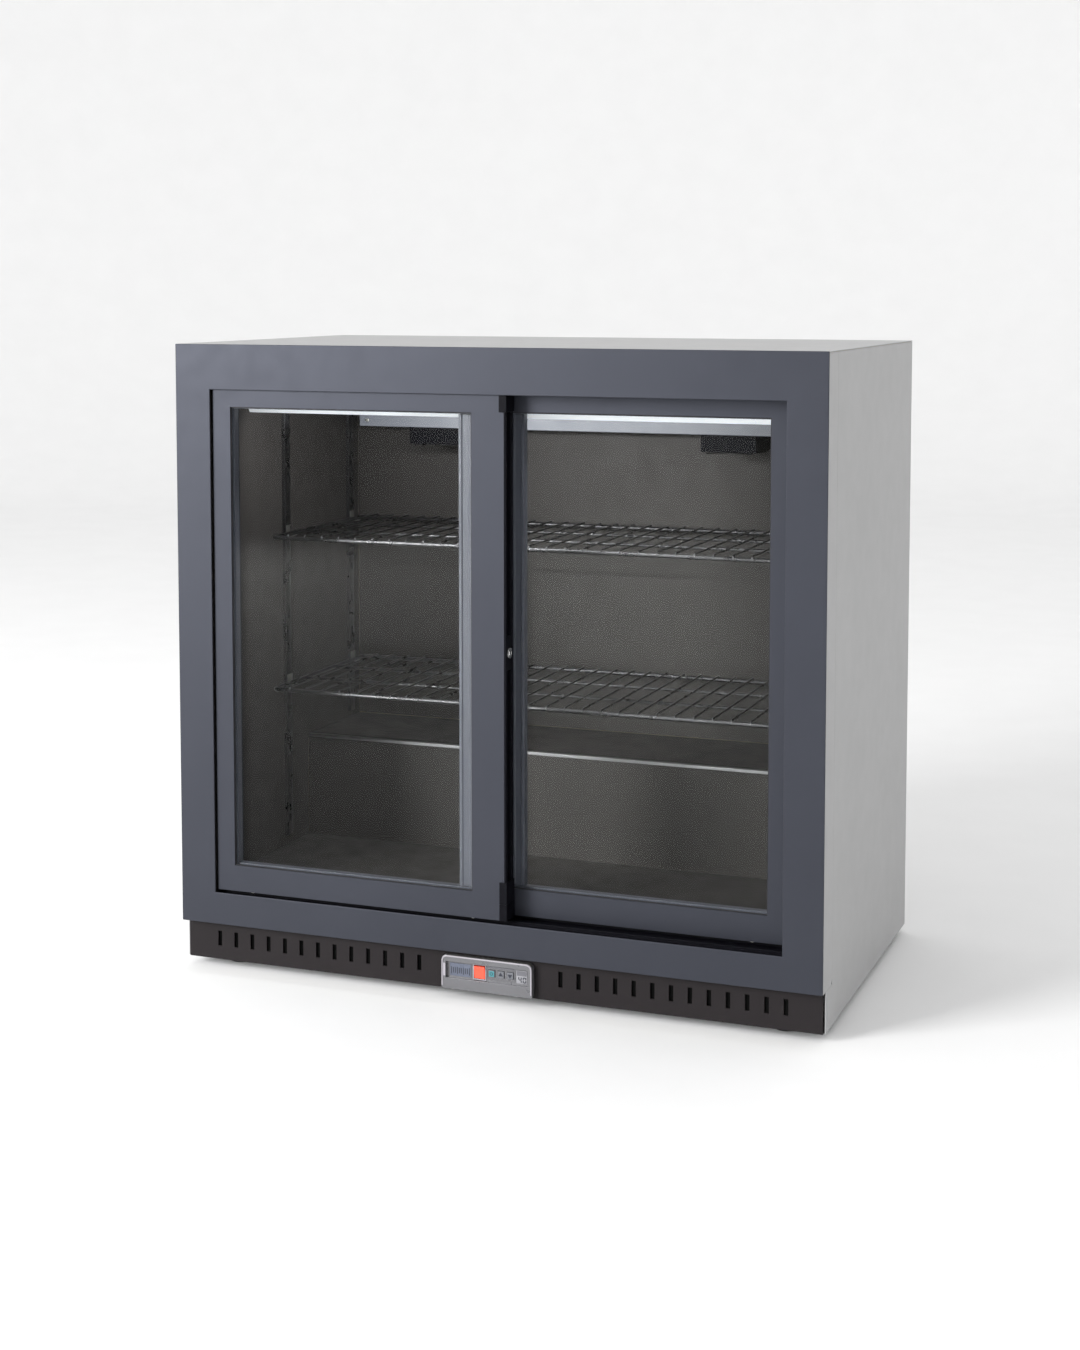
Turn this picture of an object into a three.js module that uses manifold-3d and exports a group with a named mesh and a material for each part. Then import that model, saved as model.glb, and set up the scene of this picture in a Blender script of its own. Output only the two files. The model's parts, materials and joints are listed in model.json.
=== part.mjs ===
// Two-door sliding-glass back-bar bottle cooler, built as it comes apart on a bench.
// Millimetres, +Z up. Pieces are laid out by x from the centre line, by depth (y) behind the front frame's
// face and by height (z) above the floor; the exported group then moves the depth to the middle.
import * as THREE from "three";
import { mergeVertices } from "three/addons/utils/BufferGeometryUtils.js";
import Module from "manifold-3d";

const wasm = await Module();
wasm.setup();

// ---- Driving dimensions ----
const WIDTH = 900; // over the side panels
const DEPTH = 515; // front frame's face to back panel's face
const HEIGHT = 860; // floor to top panel
const FOOT_HEIGHT = 12; // floor to the underside of the cabinet
const SHEET = 1.2; // painted steel of the outer panels
const GAP = 0.3; // clearance between neighbours that meet

const FRAME_SHEET = 2;
const FRAME_SIDE_LIP = 4; // frame's inner edge stands over the liner's side
const FRAME_TOP_RAIL = 61;
const FRAME_BOTTOM_RAIL = 44;
const SIDE_COVER_DEPTH = 50;
const COVER_NOTCH = 6;

const PLINTH_HEIGHT = 54;
const PLINTH_SETBACK = 15;
const PLINTH_INSET = 3;
const PLINTH_SHEET = 2;
const SLOT_WIDTH = 6;
const SLOT_HEIGHT = 21;
const SLOT_PITCH = 25;
const SLOT_EDGE = 50; // cabinet's side to the centre of the first slot
const SLOT_CLEAR = 34; // controller's side to the nearest slot's centre, at least

const SIDE_WALL = 48; // outer face to liner face
const TOP_WALL = 50;
const BACK_WALL = 48;
const FLOOR_WALL = 50;
const FLOOR_STEP = 12; // inner floor above the sill
const LINER = 1;
const JAMB_LAP = 5; // side liner's doorway strip behind the door tracks
const HUMP_HEIGHT = 150; // step in the liner over the machine compartment
const HUMP_DEPTH = 177;
const HUMP_WALL = 42;

const DOOR_THICKNESS = 26;
const DOOR_RECESS = 5; // front door's face behind the frame's face
const DOOR_CLEARANCE = 4; // front door's back to rear door's face
const DOOR_OVERLAP = 52;
const DOOR_SIDE_GAP = 2;
const DOOR_BOTTOM_GAP = 3.5; // sill to the door's lower edge
const DOOR_TOP_ENTRY = 16; // door's reach into the top track
const JAMB_STILE = 26; // door stile on the cabinet's side
const LAP_STILE = 45; // door stile where the doors overlap
const DOOR_BOTTOM_RAIL = 35.5;
const DOOR_TOP_RAIL = 39;
const PANE = 4;
const PANE_SPACING = 12;
const PANE_GRIP = 8; // glass edge held inside the door frame

const GRIP_DEPTH = 10; // finger channel in the door's overlap edge
const GRIP_WALL = 2;
const GRIP_CAP = 22; // solid end of the grip profile
const GRIP_CAP_PROUD = 4;
const LOCK_RADIUS = 4.5;
const LOCK_BLOCK = 22; // half height of the grip's solid middle

const TRACK_SHEET = 2;
const TRACK_MARGIN = 5; // behind the rear door
const TRACK_TOP_ROOM = 9; // door's upper edge to the top track's web
const RIB_WIDTH = 3;
const ROLLER_RADIUS = 10;
const ROLLER_GROOVE = 1.5;
const ROLLER_WIDTH = 8;
const ROLLER_INSET = 48; // door's side edge to the roller's axle
const AXLE_RADIUS = 2;
const AXLE_REACH = 3;
const RUNNING_GAP = 0.8; // around what turns

const LOWER_SHELF_HEIGHT = 247; // inner floor to the wires' top
const UPPER_SHELF_ROOM = 117.7; // wires' top to the underside of the evaporator fans
const SHELF_SETBACK = 94; // door track to the shelf's front wire
const SHELF_WIRE = 3;
const SHELF_BORDER_WIRE = 6;
const SHELF_WIRE_PITCH = 40;
const PILASTER_WIDTH = 16;
const PILASTER_THICKNESS = 5;
const PILASTER_DEPTHS = { front: 222, rear: 432 };
const PILASTER_SLOT = 4;
const PILASTER_PITCH = 50;

const LAMP_WIDTH = 24;
const LAMP_HOUSING = 30;
const LAMP_LENS = 15;
const LAMP_SETBACK = 6; // door track to the lamp

const FAN_SIZE = 80;
const FAN_THICKNESS = 25;
const FAN_BORE = 37;
const FAN_SPACING = 448; // between the two evaporator fans' axes
const COVER_HEIGHT = 80;
const COVER_DEPTH = 122;
const COVER_SIDE_ROOM = 62; // liner's side to the evaporator cover's end

const CONTROLLER_WIDTH = 128;
const CONTROLLER_HEIGHT = 45;
const CONTROLLER_PROUD = 9;
const CONTROLLER_CORNER = 7;
const PANEL_RECESS = 4.5;
const ROCKER = { x: -11, width: 15.4, height: 17.6, tilt: 8 };
const BUTTON_SIZE = 9;
const BUTTONS = { button_set: 6, button_up: 19, button_down: 32 }; // x of each button

const FOOT_RADIUS = 18;
const FOOT_INSET = 60;
const STUD_RADIUS = 4.8;
const STUD_REACH = 10;

const CONDENSER_FAN_RADIUS = 70;
const COMPRESSOR_RADIUS = 78;
const COMPRESSOR_HEIGHT = 168;

// ---- Levels and faces worked out from them ----
const halfWidth = WIDTH / 2;
const frameBottom = FOOT_HEIGHT + PLINTH_HEIGHT;
const sill = frameBottom + FRAME_BOTTOM_RAIL;
const openingTop = HEIGHT - FRAME_TOP_RAIL;
const linerHalf = halfWidth - SIDE_WALL;
const openingHalf = linerHalf - FRAME_SIDE_LIP;
const panelTop = HEIGHT - SHEET - GAP;

const frontDoorFace = DOOR_RECESS;
const rearDoorFace = frontDoorFace + DOOR_THICKNESS + DOOR_CLEARANCE;
const trackFront = FRAME_SHEET + GAP;
const trackBack = rearDoorFace + DOOR_THICKNESS + TRACK_MARGIN;
const doorWidth = openingHalf - DOOR_SIDE_GAP + DOOR_OVERLAP / 2;
const doorBottom = sill + DOOR_BOTTOM_GAP;
const doorTop = openingTop + DOOR_TOP_ENTRY;
const glassBottom = doorBottom + DOOR_BOTTOM_RAIL;
const glassTop = doorTop - DOOR_TOP_RAIL;
const trackTop = doorTop + TRACK_TOP_ROOM + TRACK_SHEET;
const trackFloor = sill - 3;
const ribTop = sill + 1;
const rollerHeight = ribTop + GAP + ROLLER_RADIUS - ROLLER_GROOVE;

const linerFront = trackBack + GAP;
const innerFloor = sill + FLOOR_STEP;
const ceiling = HEIGHT - TOP_WALL;
const linerBack = DEPTH - BACK_WALL;
const humpFront = linerBack - HUMP_DEPTH;
const humpTop = innerFloor + HUMP_HEIGHT;
const bulkheadFloor = innerFloor - FLOOR_WALL; // underside of the floor's insulation
const bulkheadFront = humpFront + HUMP_WALL; // machine compartment's front wall
const bulkheadTop = humpTop - HUMP_WALL;
const panTop = FOOT_HEIGHT + SHEET;
const coverBottom = ceiling - COVER_HEIGHT;
const coverFront = linerBack - COVER_DEPTH;

// ---- Materials ----
function finish(colour, roughness, metalness) {
  return new THREE.MeshStandardMaterial({ color: colour, roughness, metalness });
}
const framePaint = finish(0x5b5c68, 0.45, 0.3);
const cabinetPaint = finish(0xb9b9b6, 0.45, 0.2);
const plinthPaint = finish(0x423d3e, 0.55, 0.2);
const linerPaint = finish(0x3d3a38, 0.6, 0.1);
const foam = finish(0xd9c98f, 0.95, 0);
const blackPlastic = finish(0x131316, 0.5, 0);
const silverPlastic = finish(0x9d9da3, 0.35, 0.1);
const orangePlastic = finish(0xf2543f, 0.3, 0);
const clearGlass = finish(0xc9d6d6, 0.05, 0);
const galvanised = finish(0x9aa0a3, 0.45, 0.8);
const brightWire = finish(0xa4a7a8, 0.3, 0.9);
const aluminium = finish(0xb4b8ba, 0.4, 0.9);
const whiteLens = finish(0xf4f7ff, 0.4, 0);
const blackSteel = finish(0x1c1c1e, 0.4, 0.4);
const rubber = finish(0x1a1a1a, 0.9, 0);

// ---- Geometry helpers ----
function box(x0, x1, y0, y1, z0, z1) {
  const made = new THREE.BoxGeometry(x1 - x0, y1 - y0, z1 - z0);
  return made.translate((x0 + x1) / 2, (y0 + y1) / 2, (z0 + z1) / 2);
}

function outline(points) {
  return new THREE.Shape(points.map(([a, b]) => new THREE.Vector2(a, b)));
}

// A rectangular path, for a hole in a shape.
function rectangle(a0, a1, b0, b1) {
  return outline([[a0, b0], [a1, b0], [a1, b1], [a0, b1]]);
}

function extrude(shape, length) {
  return new THREE.ExtrudeGeometry(shape, { depth: length, bevelEnabled: false, curveSegments: 8 });
}

// An outline in depth and height, run along x.
function alongX(shape, x0, x1) {
  return extrude(shape, x1 - x0).rotateX(Math.PI / 2).rotateZ(Math.PI / 2).translate(x0, 0, 0);
}

// An outline in x and height, run along the depth.
function alongY(shape, y0, y1) {
  return extrude(shape, y1 - y0).rotateX(Math.PI / 2).translate(0, y1, 0);
}

function cylinderX(radius, x0, x1, y, z, sides = 24) {
  const made = new THREE.CylinderGeometry(radius, radius, x1 - x0, sides);
  return made.rotateZ(Math.PI / 2).translate((x0 + x1) / 2, y, z);
}

function cylinderY(radius, y0, y1, x, z, sides = 24) {
  return new THREE.CylinderGeometry(radius, radius, y1 - y0, sides).translate(x, (y0 + y1) / 2, z);
}

function cylinderZ(radius, z0, z1, x, y, sides = 24) {
  const made = new THREE.CylinderGeometry(radius, radius, z1 - z0, sides);
  return made.rotateX(Math.PI / 2).translate(x, y, (z0 + z1) / 2);
}

// A profile of [radius, height] turned about the vertical.
function turned(profile, sides) {
  const points = profile.map(([r, h]) => new THREE.Vector2(r, h));
  return new THREE.LatheGeometry(points, sides).rotateX(Math.PI / 2);
}

function solid(geometry) {
  const bare = geometry.clone();
  bare.deleteAttribute("normal");
  bare.deleteAttribute("uv");
  const merged = mergeVertices(bare, 1e-3);
  return new wasm.Manifold(
    new wasm.Mesh({
      numProp: 3,
      vertProperties: merged.attributes.position.array,
      triVerts: new Uint32Array(merged.index.array),
    }),
  );
}

function geometryOf(made) {
  const mesh = made.getMesh();
  const shared = new THREE.BufferGeometry()
    .setAttribute("position", new THREE.BufferAttribute(mesh.vertProperties, 3))
    .setIndex(new THREE.BufferAttribute(mesh.triVerts, 1));
  const flat = shared.toNonIndexed();
  flat.computeVertexNormals();
  return flat;
}

function join(pieces) {
  return geometryOf(pieces.map(solid).reduce((sum, piece) => sum.add(piece)));
}

function cut(body, tools) {
  return geometryOf(tools.map(solid).reduce((rest, tool) => rest.subtract(tool), solid(body)));
}

// A sheet of even thickness, bent along a path of [depth, height] points and lying to the path's left.
function bentSheet(path, thickness, x0, x1) {
  const points = path.map(([a, b]) => new THREE.Vector2(a, b));
  const normals = points.slice(1).map((point, i) => {
    const along = point.clone().sub(points[i]).normalize();
    return new THREE.Vector2(-along.y, along.x);
  });
  const far = points.map((point, i) => {
    const before = normals[Math.max(i - 1, 0)];
    const after = normals[Math.min(i, normals.length - 1)];
    const mitre = before.clone().add(after);
    return point.clone().addScaledVector(mitre, (2 * thickness) / mitre.lengthSq());
  });
  return alongX(new THREE.Shape([...points, ...far.reverse()]), x0, x1);
}

const cooler = new THREE.Group();
function add(name, geometry, material, parent = cooler) {
  const mesh = new THREE.Mesh(geometry, material);
  mesh.name = name;
  parent.add(mesh);
  return mesh;
}

// ---- Outer cabinet ----
function frontFrame() {
  const face = rectangle(-halfWidth, halfWidth, frameBottom, HEIGHT);
  face.holes.push(rectangle(-openingHalf, openingHalf, sill, openingTop));
  return alongY(face, 0, FRAME_SHEET);
}

// The strip that closes the frame's side, with its lower rear corner nipped off.
function sideCover() {
  const back = SIDE_COVER_DEPTH;
  const shape = outline([
    [trackFront, frameBottom],
    [back - COVER_NOTCH, frameBottom],
    [back, frameBottom + COVER_NOTCH],
    [back, panelTop],
    [trackFront, panelTop],
  ]);
  return alongX(shape, halfWidth - SHEET, halfWidth);
}

// The side panel reaches forward under the side cover to meet the plinth.
function sidePanel() {
  const front = SIDE_COVER_DEPTH + GAP;
  const tongue = PLINTH_SETBACK + PLINTH_SHEET + GAP;
  const shape = outline([
    [tongue, FOOT_HEIGHT],
    [DEPTH - SHEET - GAP, FOOT_HEIGHT],
    [DEPTH - SHEET - GAP, panelTop],
    [front, panelTop],
    [front, frameBottom - GAP],
    [tongue, frameBottom - GAP],
  ]);
  return alongX(shape, halfWidth - SHEET, halfWidth);
}

// Louvre slots in two banks, the right one shorter where it leaves the power inlet's corner plain.
function rearGrille() {
  const sheet = box(1 - halfWidth, halfWidth - 1, DEPTH - SHEET, DEPTH, panTop, bulkheadTop - GAP);
  const inlet = inletPlace();
  const rows = 8;
  const pitch = (bulkheadTop - panTop) / (rows + 2);
  const tools = [box(inlet.x - 24, inlet.x + 24, DEPTH - 5, DEPTH + 5, inlet.z - 16, inlet.z + 16)];
  for (let row = 1; row <= rows; row++) {
    const z = panTop + row * pitch;
    const plain = z < inlet.z + 40;
    const right = plain ? inlet.x - 50 : halfWidth - 30;
    for (const [x0, x1] of [[30 - halfWidth, -20], [20, right]]) {
      tools.push(box(x0, x1, DEPTH - 5, DEPTH + 5, z, z + pitch * 0.45));
    }
  }
  return cut(sheet, tools);
}

function basePan() {
  const plate = box(1.6 - halfWidth, halfWidth - 1.6, tongueBack(), DEPTH - SHEET - GAP, FOOT_HEIGHT, panTop);
  return cut(plate, footPlaces().map(([x, y]) => cylinderZ(STUD_RADIUS + 0.6, 0, 40, x, y, 12)));
}

function tongueBack() {
  return PLINTH_SETBACK + PLINTH_SHEET + GAP;
}

function footPlaces() {
  const x = halfWidth - FOOT_INSET;
  return [
    [-x, FOOT_INSET],
    [x, FOOT_INSET],
    [-x, DEPTH - FOOT_INSET],
    [x, DEPTH - FOOT_INSET],
  ];
}

function foot() {
  const collar = FOOT_HEIGHT - GAP;
  return turned(
    [
      [0, 0],
      [FOOT_RADIUS - 2, 0],
      [FOOT_RADIUS, 2],
      [FOOT_RADIUS, 4],
      [10, 7],
      [10, collar],
      [STUD_RADIUS, collar],
      [STUD_RADIUS, collar + STUD_REACH],
      [0, collar + STUD_REACH],
    ],
    12,
  );
}

function slotCentres() {
  const last = halfWidth - SLOT_EDGE;
  const first = CONTROLLER_WIDTH / 2 + SLOT_CLEAR;
  const count = Math.floor((last - first) / SLOT_PITCH) + 1;
  return Array.from({ length: count }, (_, i) => last - i * SLOT_PITCH);
}

function plinthGrille() {
  const half = halfWidth - PLINTH_INSET;
  const front = PLINTH_SETBACK;
  const sheet = box(-half, half, front, front + PLINTH_SHEET, FOOT_HEIGHT, frameBottom - GAP);
  const { z, neckHalf, neckTall } = controllerPlace();
  const neck = neckHalf + GAP;
  const tools = [box(-neck, neck, front - 1, front + 5, z - neckTall - GAP, z + neckTall + GAP)];
  const middle = FOOT_HEIGHT + PLINTH_HEIGHT * 0.54;
  for (const centre of slotCentres()) {
    for (const x of [-centre, centre]) {
      const wide = SLOT_WIDTH / 2;
      const tall = SLOT_HEIGHT / 2;
      tools.push(box(x - wide, x + wide, front - 1, front + 5, middle - tall, middle + tall));
    }
  }
  return cut(sheet, tools);
}

// ---- Insulated body ----
// The cold space in depth and height, grown by a margin: floor, step over the machinery, back and ceiling.
function coldSpace(margin, front = linerFront) {
  return outline([
    [front, innerFloor - margin],
    [humpFront + margin, innerFloor - margin],
    [humpFront + margin, humpTop - margin],
    [linerBack + margin, humpTop - margin],
    [linerBack + margin, ceiling + margin],
    [front, ceiling + margin],
  ]);
}

function sideLiner() {
  const inner = alongX(coldSpace(LINER), linerHalf, linerHalf + LINER);
  const low = trackFloor - TRACK_SHEET;
  const jamb = box(linerHalf, linerHalf + LINER, trackFront, linerFront + JAMB_LAP, low, trackTop);
  return join([inner, jamb]);
}

function ceilingLiner() {
  const path = [
    [linerBack, humpTop + GAP],
    [linerBack, ceiling],
    [linerFront + GAP, ceiling],
  ];
  return bentSheet([...path].reverse(), LINER, GAP - linerHalf, linerHalf - GAP);
}

function floorLiner() {
  const path = [
    [linerFront + LINER, trackFloor],
    [linerFront + LINER, innerFloor],
    [humpFront, innerFloor],
    [humpFront, humpTop],
    [linerBack + LINER, humpTop],
  ];
  return bentSheet([...path].reverse(), LINER, GAP - linerHalf, linerHalf - GAP);
}

function bulkhead() {
  const path = [
    [tongueBack(), bulkheadFloor],
    [bulkheadFront, bulkheadFloor],
    [bulkheadFront, bulkheadTop],
    [DEPTH - SHEET - GAP, bulkheadTop],
  ];
  const half = halfWidth - SHEET - GAP;
  return bentSheet([...path].reverse(), SHEET, -half, half);
}

// Foam fills the wall between the outer panels, the liner, the door tracks and the bulkhead.
function insulation() {
  const half = halfWidth - SHEET - GAP;
  const back = DEPTH - SHEET - GAP;
  const under = bulkheadFloor + GAP;
  const shape = outline([
    [trackFront, under],
    [bulkheadFront - GAP, under],
    [bulkheadFront - GAP, bulkheadTop + GAP],
    [back, bulkheadTop + GAP],
    [back, panelTop],
    [trackFront, panelTop],
  ]);
  const room = linerHalf + LINER + GAP;
  const cold = alongX(coldSpace(LINER + GAP, trackBack - 1), -room, room);
  const low = trackFloor - TRACK_SHEET - GAP;
  const doorway = box(-room, room, -1, linerFront + JAMB_LAP + GAP, low, trackTop + GAP);
  return cut(alongX(shape, -half, half), [cold, doorway]);
}

// ---- Door tracks ----
function trackHalf() {
  return linerHalf - GAP;
}

function doorCentres() {
  return [frontDoorFace + DOOR_THICKNESS / 2, rearDoorFace + DOOR_THICKNESS / 2];
}

function bottomTrack() {
  const base = box(-trackHalf(), trackHalf(), trackFront, trackBack, trackFloor - TRACK_SHEET, trackFloor);
  const ribs = doorCentres().map((y) =>
    box(-trackHalf(), trackHalf(), y - RIB_WIDTH / 2, y + RIB_WIDTH / 2, trackFloor - 1, ribTop),
  );
  return join([base, ...ribs]);
}

function topTrack() {
  const web = box(-trackHalf(), trackHalf(), trackFront, trackBack, trackTop - TRACK_SHEET, trackTop);
  const between = frontDoorFace + DOOR_THICKNESS + DOOR_CLEARANCE / 2;
  const wall = DOOR_CLEARANCE * 0.4;
  const walls = [
    [trackFront, frontDoorFace - 1],
    [between - wall / 2, between + wall / 2],
    [trackBack - TRACK_MARGIN + 2, trackBack - TRACK_MARGIN + 2 + wall],
  ];
  const half = trackHalf();
  return join([web, ...walls.map(([y0, y1]) => box(-half, half, y0, y1, openingTop, trackTop - 1))]);
}

// ---- Doors ----
// A door is drawn with x from its jamb edge (0) to its overlap edge (doorWidth) and y from its own face.
const lockHeight = (doorBottom + doorTop) / 2;
const gripSpans = [
  [doorBottom + GRIP_CAP, lockHeight - LOCK_BLOCK],
  [lockHeight + LOCK_BLOCK, doorTop - GRIP_CAP - DOOR_TOP_ENTRY],
];
const gripNear = 4; // grip channel's first wall behind the door's face
const gripFar = DOOR_THICKNESS - 6;
const rollerPlaces = [ROLLER_INSET, doorWidth - ROLLER_INSET];

function doorFrame() {
  const t = DOOR_THICKNESS;
  const body = box(0, doorWidth, 0, t, doorBottom, doorTop);
  const sightLeft = JAMB_STILE;
  const sightRight = doorWidth - LAP_STILE;
  const glazing = 2 * PANE + PANE_SPACING + 2 * GAP;
  const held = PANE_GRIP + GAP;
  const tools = [
    box(sightLeft, sightRight, -1, t + 1, glassBottom, glassTop),
    box(
      sightLeft - held,
      sightRight + held,
      (t - glazing) / 2,
      (t + glazing) / 2,
      glassBottom - held,
      glassTop + held,
    ),
  ];
  for (const x of rollerPlaces) {
    const half = ROLLER_RADIUS + 2;
    const wide = ROLLER_WIDTH / 2 + RUNNING_GAP;
    const roof = rollerHeight + ROLLER_RADIUS + 2;
    tools.push(box(x - half, x + half, t / 2 - wide, t / 2 + wide, doorBottom - 1, roof));
    const axle = wide + AXLE_REACH + GAP;
    tools.push(cylinderY(AXLE_RADIUS + 0.4, t / 2 - axle, t / 2 + axle, x, rollerHeight, 12));
  }
  for (const [low, high] of gripSpans) {
    const inset = doorWidth - GRIP_DEPTH - GRIP_WALL - GAP;
    const clear = GRIP_WALL + GAP;
    tools.push(box(inset, doorWidth + 1, gripNear - GAP, gripFar + GAP, low - clear, high + clear));
  }
  const lockRoom = doorWidth - 14;
  tools.push(cylinderX(LOCK_RADIUS + RUNNING_GAP, lockRoom, doorWidth + 1, t / 2, lockHeight, 20));
  return cut(body, tools);
}

// Black profile on the overlap edge: two finger channels, solid ends and a solid middle for the lock.
function edgeGrip() {
  const near = doorWidth + GAP;
  const face = near + GRIP_WALL;
  const t = DOOR_THICKNESS;
  const parts = [box(near, face, 1, t, doorBottom, doorTop)];
  for (const [low, high] of [
    [doorBottom, doorBottom + GRIP_CAP],
    [doorTop - GRIP_CAP - DOOR_TOP_ENTRY, doorTop],
  ]) {
    parts.push(box(near, doorWidth + GRIP_CAP_PROUD, 1, t, low, high));
  }
  const back = doorWidth - GRIP_DEPTH;
  for (const [low, high] of gripSpans) {
    parts.push(box(back - GRIP_WALL, face, gripNear, gripFar, low - GRIP_WALL, high + GRIP_WALL));
  }
  const tools = gripSpans.map(([low, high]) =>
    box(back, face + 1, gripNear + GRIP_WALL, gripFar - GRIP_WALL, low, high),
  );
  tools.push(cylinderX(LOCK_RADIUS + RUNNING_GAP, back - 5, face + 1, t / 2, lockHeight, 20));
  return cut(join(parts), tools);
}

function pane(face) {
  const held = PANE_GRIP;
  const right = doorWidth - LAP_STILE + held;
  return box(JAMB_STILE - held, right, face, face + PANE, glassBottom - held, glassTop + held);
}

function lockBarrel() {
  const tip = doorWidth + GRIP_CAP_PROUD;
  const y = DOOR_THICKNESS / 2;
  const barrel = cylinderX(LOCK_RADIUS, doorWidth - GRIP_DEPTH, tip, y, lockHeight, 20);
  const keyway = box(tip - 1.5, tip + 1, y - 0.7, y + 0.7, lockHeight - 3, lockHeight + 3);
  return cut(barrel, [keyway]);
}

function roller() {
  const half = ROLLER_WIDTH / 2;
  const groove = RIB_WIDTH / 2 + 0.6;
  const low = ROLLER_RADIUS - ROLLER_GROOVE;
  const pin = half + RUNNING_GAP + AXLE_REACH;
  return turned(
    [
      [0, -pin],
      [AXLE_RADIUS, -pin],
      [AXLE_RADIUS, -half],
      [ROLLER_RADIUS, -half],
      [ROLLER_RADIUS, -groove - 0.5],
      [low, -groove],
      [low, groove],
      [ROLLER_RADIUS, groove + 0.5],
      [ROLLER_RADIUS, half],
      [AXLE_RADIUS, half],
      [AXLE_RADIUS, pin],
      [0, pin],
    ],
    14,
  ).rotateX(Math.PI / 2);
}

function addDoor(side, face) {
  const door = new THREE.Group();
  const jamb = openingHalf - DOOR_SIDE_GAP;
  const left = side === "left";
  door.position.set(left ? -jamb : jamb, face, 0);
  door.scale.x = left ? 1 : -1;
  add(side + "_door_frame", doorFrame(), framePaint, door);
  add(side + "_door_edge_grip", edgeGrip(), blackPlastic, door);
  const middle = DOOR_THICKNESS / 2;
  const outer = middle - PANE_SPACING / 2 - PANE;
  add(side + "_door_outer_pane", pane(outer), clearGlass, door);
  add(side + "_door_inner_pane", pane(middle + PANE_SPACING / 2), clearGlass, door);
  rollerPlaces.forEach((x, i) => {
    const wheel = add(side + "_door_roller_" + ["jamb", "lap"][i], roller(), blackPlastic, door);
    wheel.position.set(x, middle, rollerHeight);
  });
  if (left) add("door_lock", lockBarrel(), brightWire, door);
  cooler.add(door);
}

// ---- Inside the cold space ----
function pilaster(place) {
  const y = PILASTER_DEPTHS[place];
  const low = y + PILASTER_WIDTH / 2 > humpFront - 2 ? humpTop + 10 : innerFloor + 15;
  const high = ceiling - LAMP_LENS;
  const strip = rectangle(y - PILASTER_WIDTH / 2, y + PILASTER_WIDTH / 2, low, high);
  const half = PILASTER_SLOT / 2;
  for (let z = low + PILASTER_PITCH / 2; z < high - PILASTER_PITCH / 2; z += PILASTER_PITCH) {
    strip.holes.push(rectangle(y - half, y + half, z - 6, z + 6));
  }
  const outer = linerHalf - GAP;
  return alongX(strip, outer - PILASTER_THICKNESS, outer);
}

function shelf(top) {
  const front = trackBack + SHELF_SETBACK;
  const back = linerBack - 7;
  const half = linerHalf - PILASTER_THICKNESS - 3;
  const w = SHELF_WIRE;
  const b = SHELF_BORDER_WIRE;
  const low = top - w - b + 1;
  const parts = [];
  for (const y of [front, (front + back - b) / 2, back - b]) {
    parts.push(box(-half, half, y, y + b, low, low + b));
  }
  for (const x of [-half, half - b]) {
    parts.push(box(x, x + b, front, back, low, low + b));
  }
  const count = Math.floor((2 * half - 2 * b) / SHELF_WIRE_PITCH);
  const pitch = (2 * half - w) / count;
  for (let i = 1; i < count; i++) {
    const x = i * pitch - half;
    parts.push(box(x, x + w, front + 1, back - 1, top - w, top));
  }
  return join(parts);
}

function lampHousing() {
  const y = trackBack + LAMP_SETBACK;
  const half = linerHalf - 18;
  const top = ceiling - GAP;
  return box(-half, half, y, y + LAMP_WIDTH, top - LAMP_HOUSING, top);
}

function lampLens() {
  const y = trackBack + LAMP_SETBACK;
  const top = ceiling - LAMP_HOUSING - 2 * GAP;
  const shape = outline([
    [y + 1, top],
    [y + 2, top - LAMP_LENS * 0.6],
    [y + 7, top - LAMP_LENS],
    [y + LAMP_WIDTH - 7, top - LAMP_LENS],
    [y + LAMP_WIDTH - 2, top - LAMP_LENS * 0.6],
    [y + LAMP_WIDTH - 1, top],
  ]);
  const half = linerHalf - 22;
  return alongX(shape, -half, half);
}

// ---- Evaporator ----
const fanDepth = coverFront + 12 + FAN_SIZE / 2;
const fanTop = coverBottom - GAP;
const fanSides = { left: -1, right: 1 };

function evaporatorCover() {
  const half = linerHalf - COVER_SIDE_ROOM;
  const wall = 1.5;
  const inner = half - wall;
  const outer = box(-half, half, coverFront, linerBack - GAP, coverBottom, ceiling - GAP);
  const tools = [box(-inner, inner, coverFront + wall, linerBack - 2, coverBottom + wall, ceiling)];
  for (const side of Object.values(fanSides)) {
    const x = (side * FAN_SPACING) / 2;
    tools.push(cylinderZ(FAN_BORE, coverBottom - 1, coverBottom + 5, x, fanDepth, 24));
  }
  const outlets = 6;
  for (let i = 0; i < outlets; i++) {
    const x = (i - (outlets - 1) / 2) * ((2 * half) / outlets);
    const wide = half / outlets - 10;
    for (const z of [coverBottom + 30, coverBottom + 42]) {
      tools.push(box(x - wide, x + wide, coverFront - 1, coverFront + 3, z, z + 5));
    }
  }
  return cut(outer, tools);
}

// A block of fins: each side of the outline is a comb, run through the block's width.
function finComb(length, height, fins, core) {
  const share = 0.4; // fin's share of the pitch
  const pitch = length / (fins - 1 + share);
  const top = [];
  const bottom = [];
  for (let i = 0; i < fins; i++) {
    const a = i * pitch;
    const b = a + pitch * share;
    const c = a + pitch;
    top.push([a, height], [b, height]);
    bottom.push([a, 0], [b, 0]);
    if (i < fins - 1) {
      top.push([b, height - core], [c, height - core]);
      bottom.push([b, core], [c, core]);
    }
  }
  return outline([...bottom, ...top.reverse()]);
}

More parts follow.
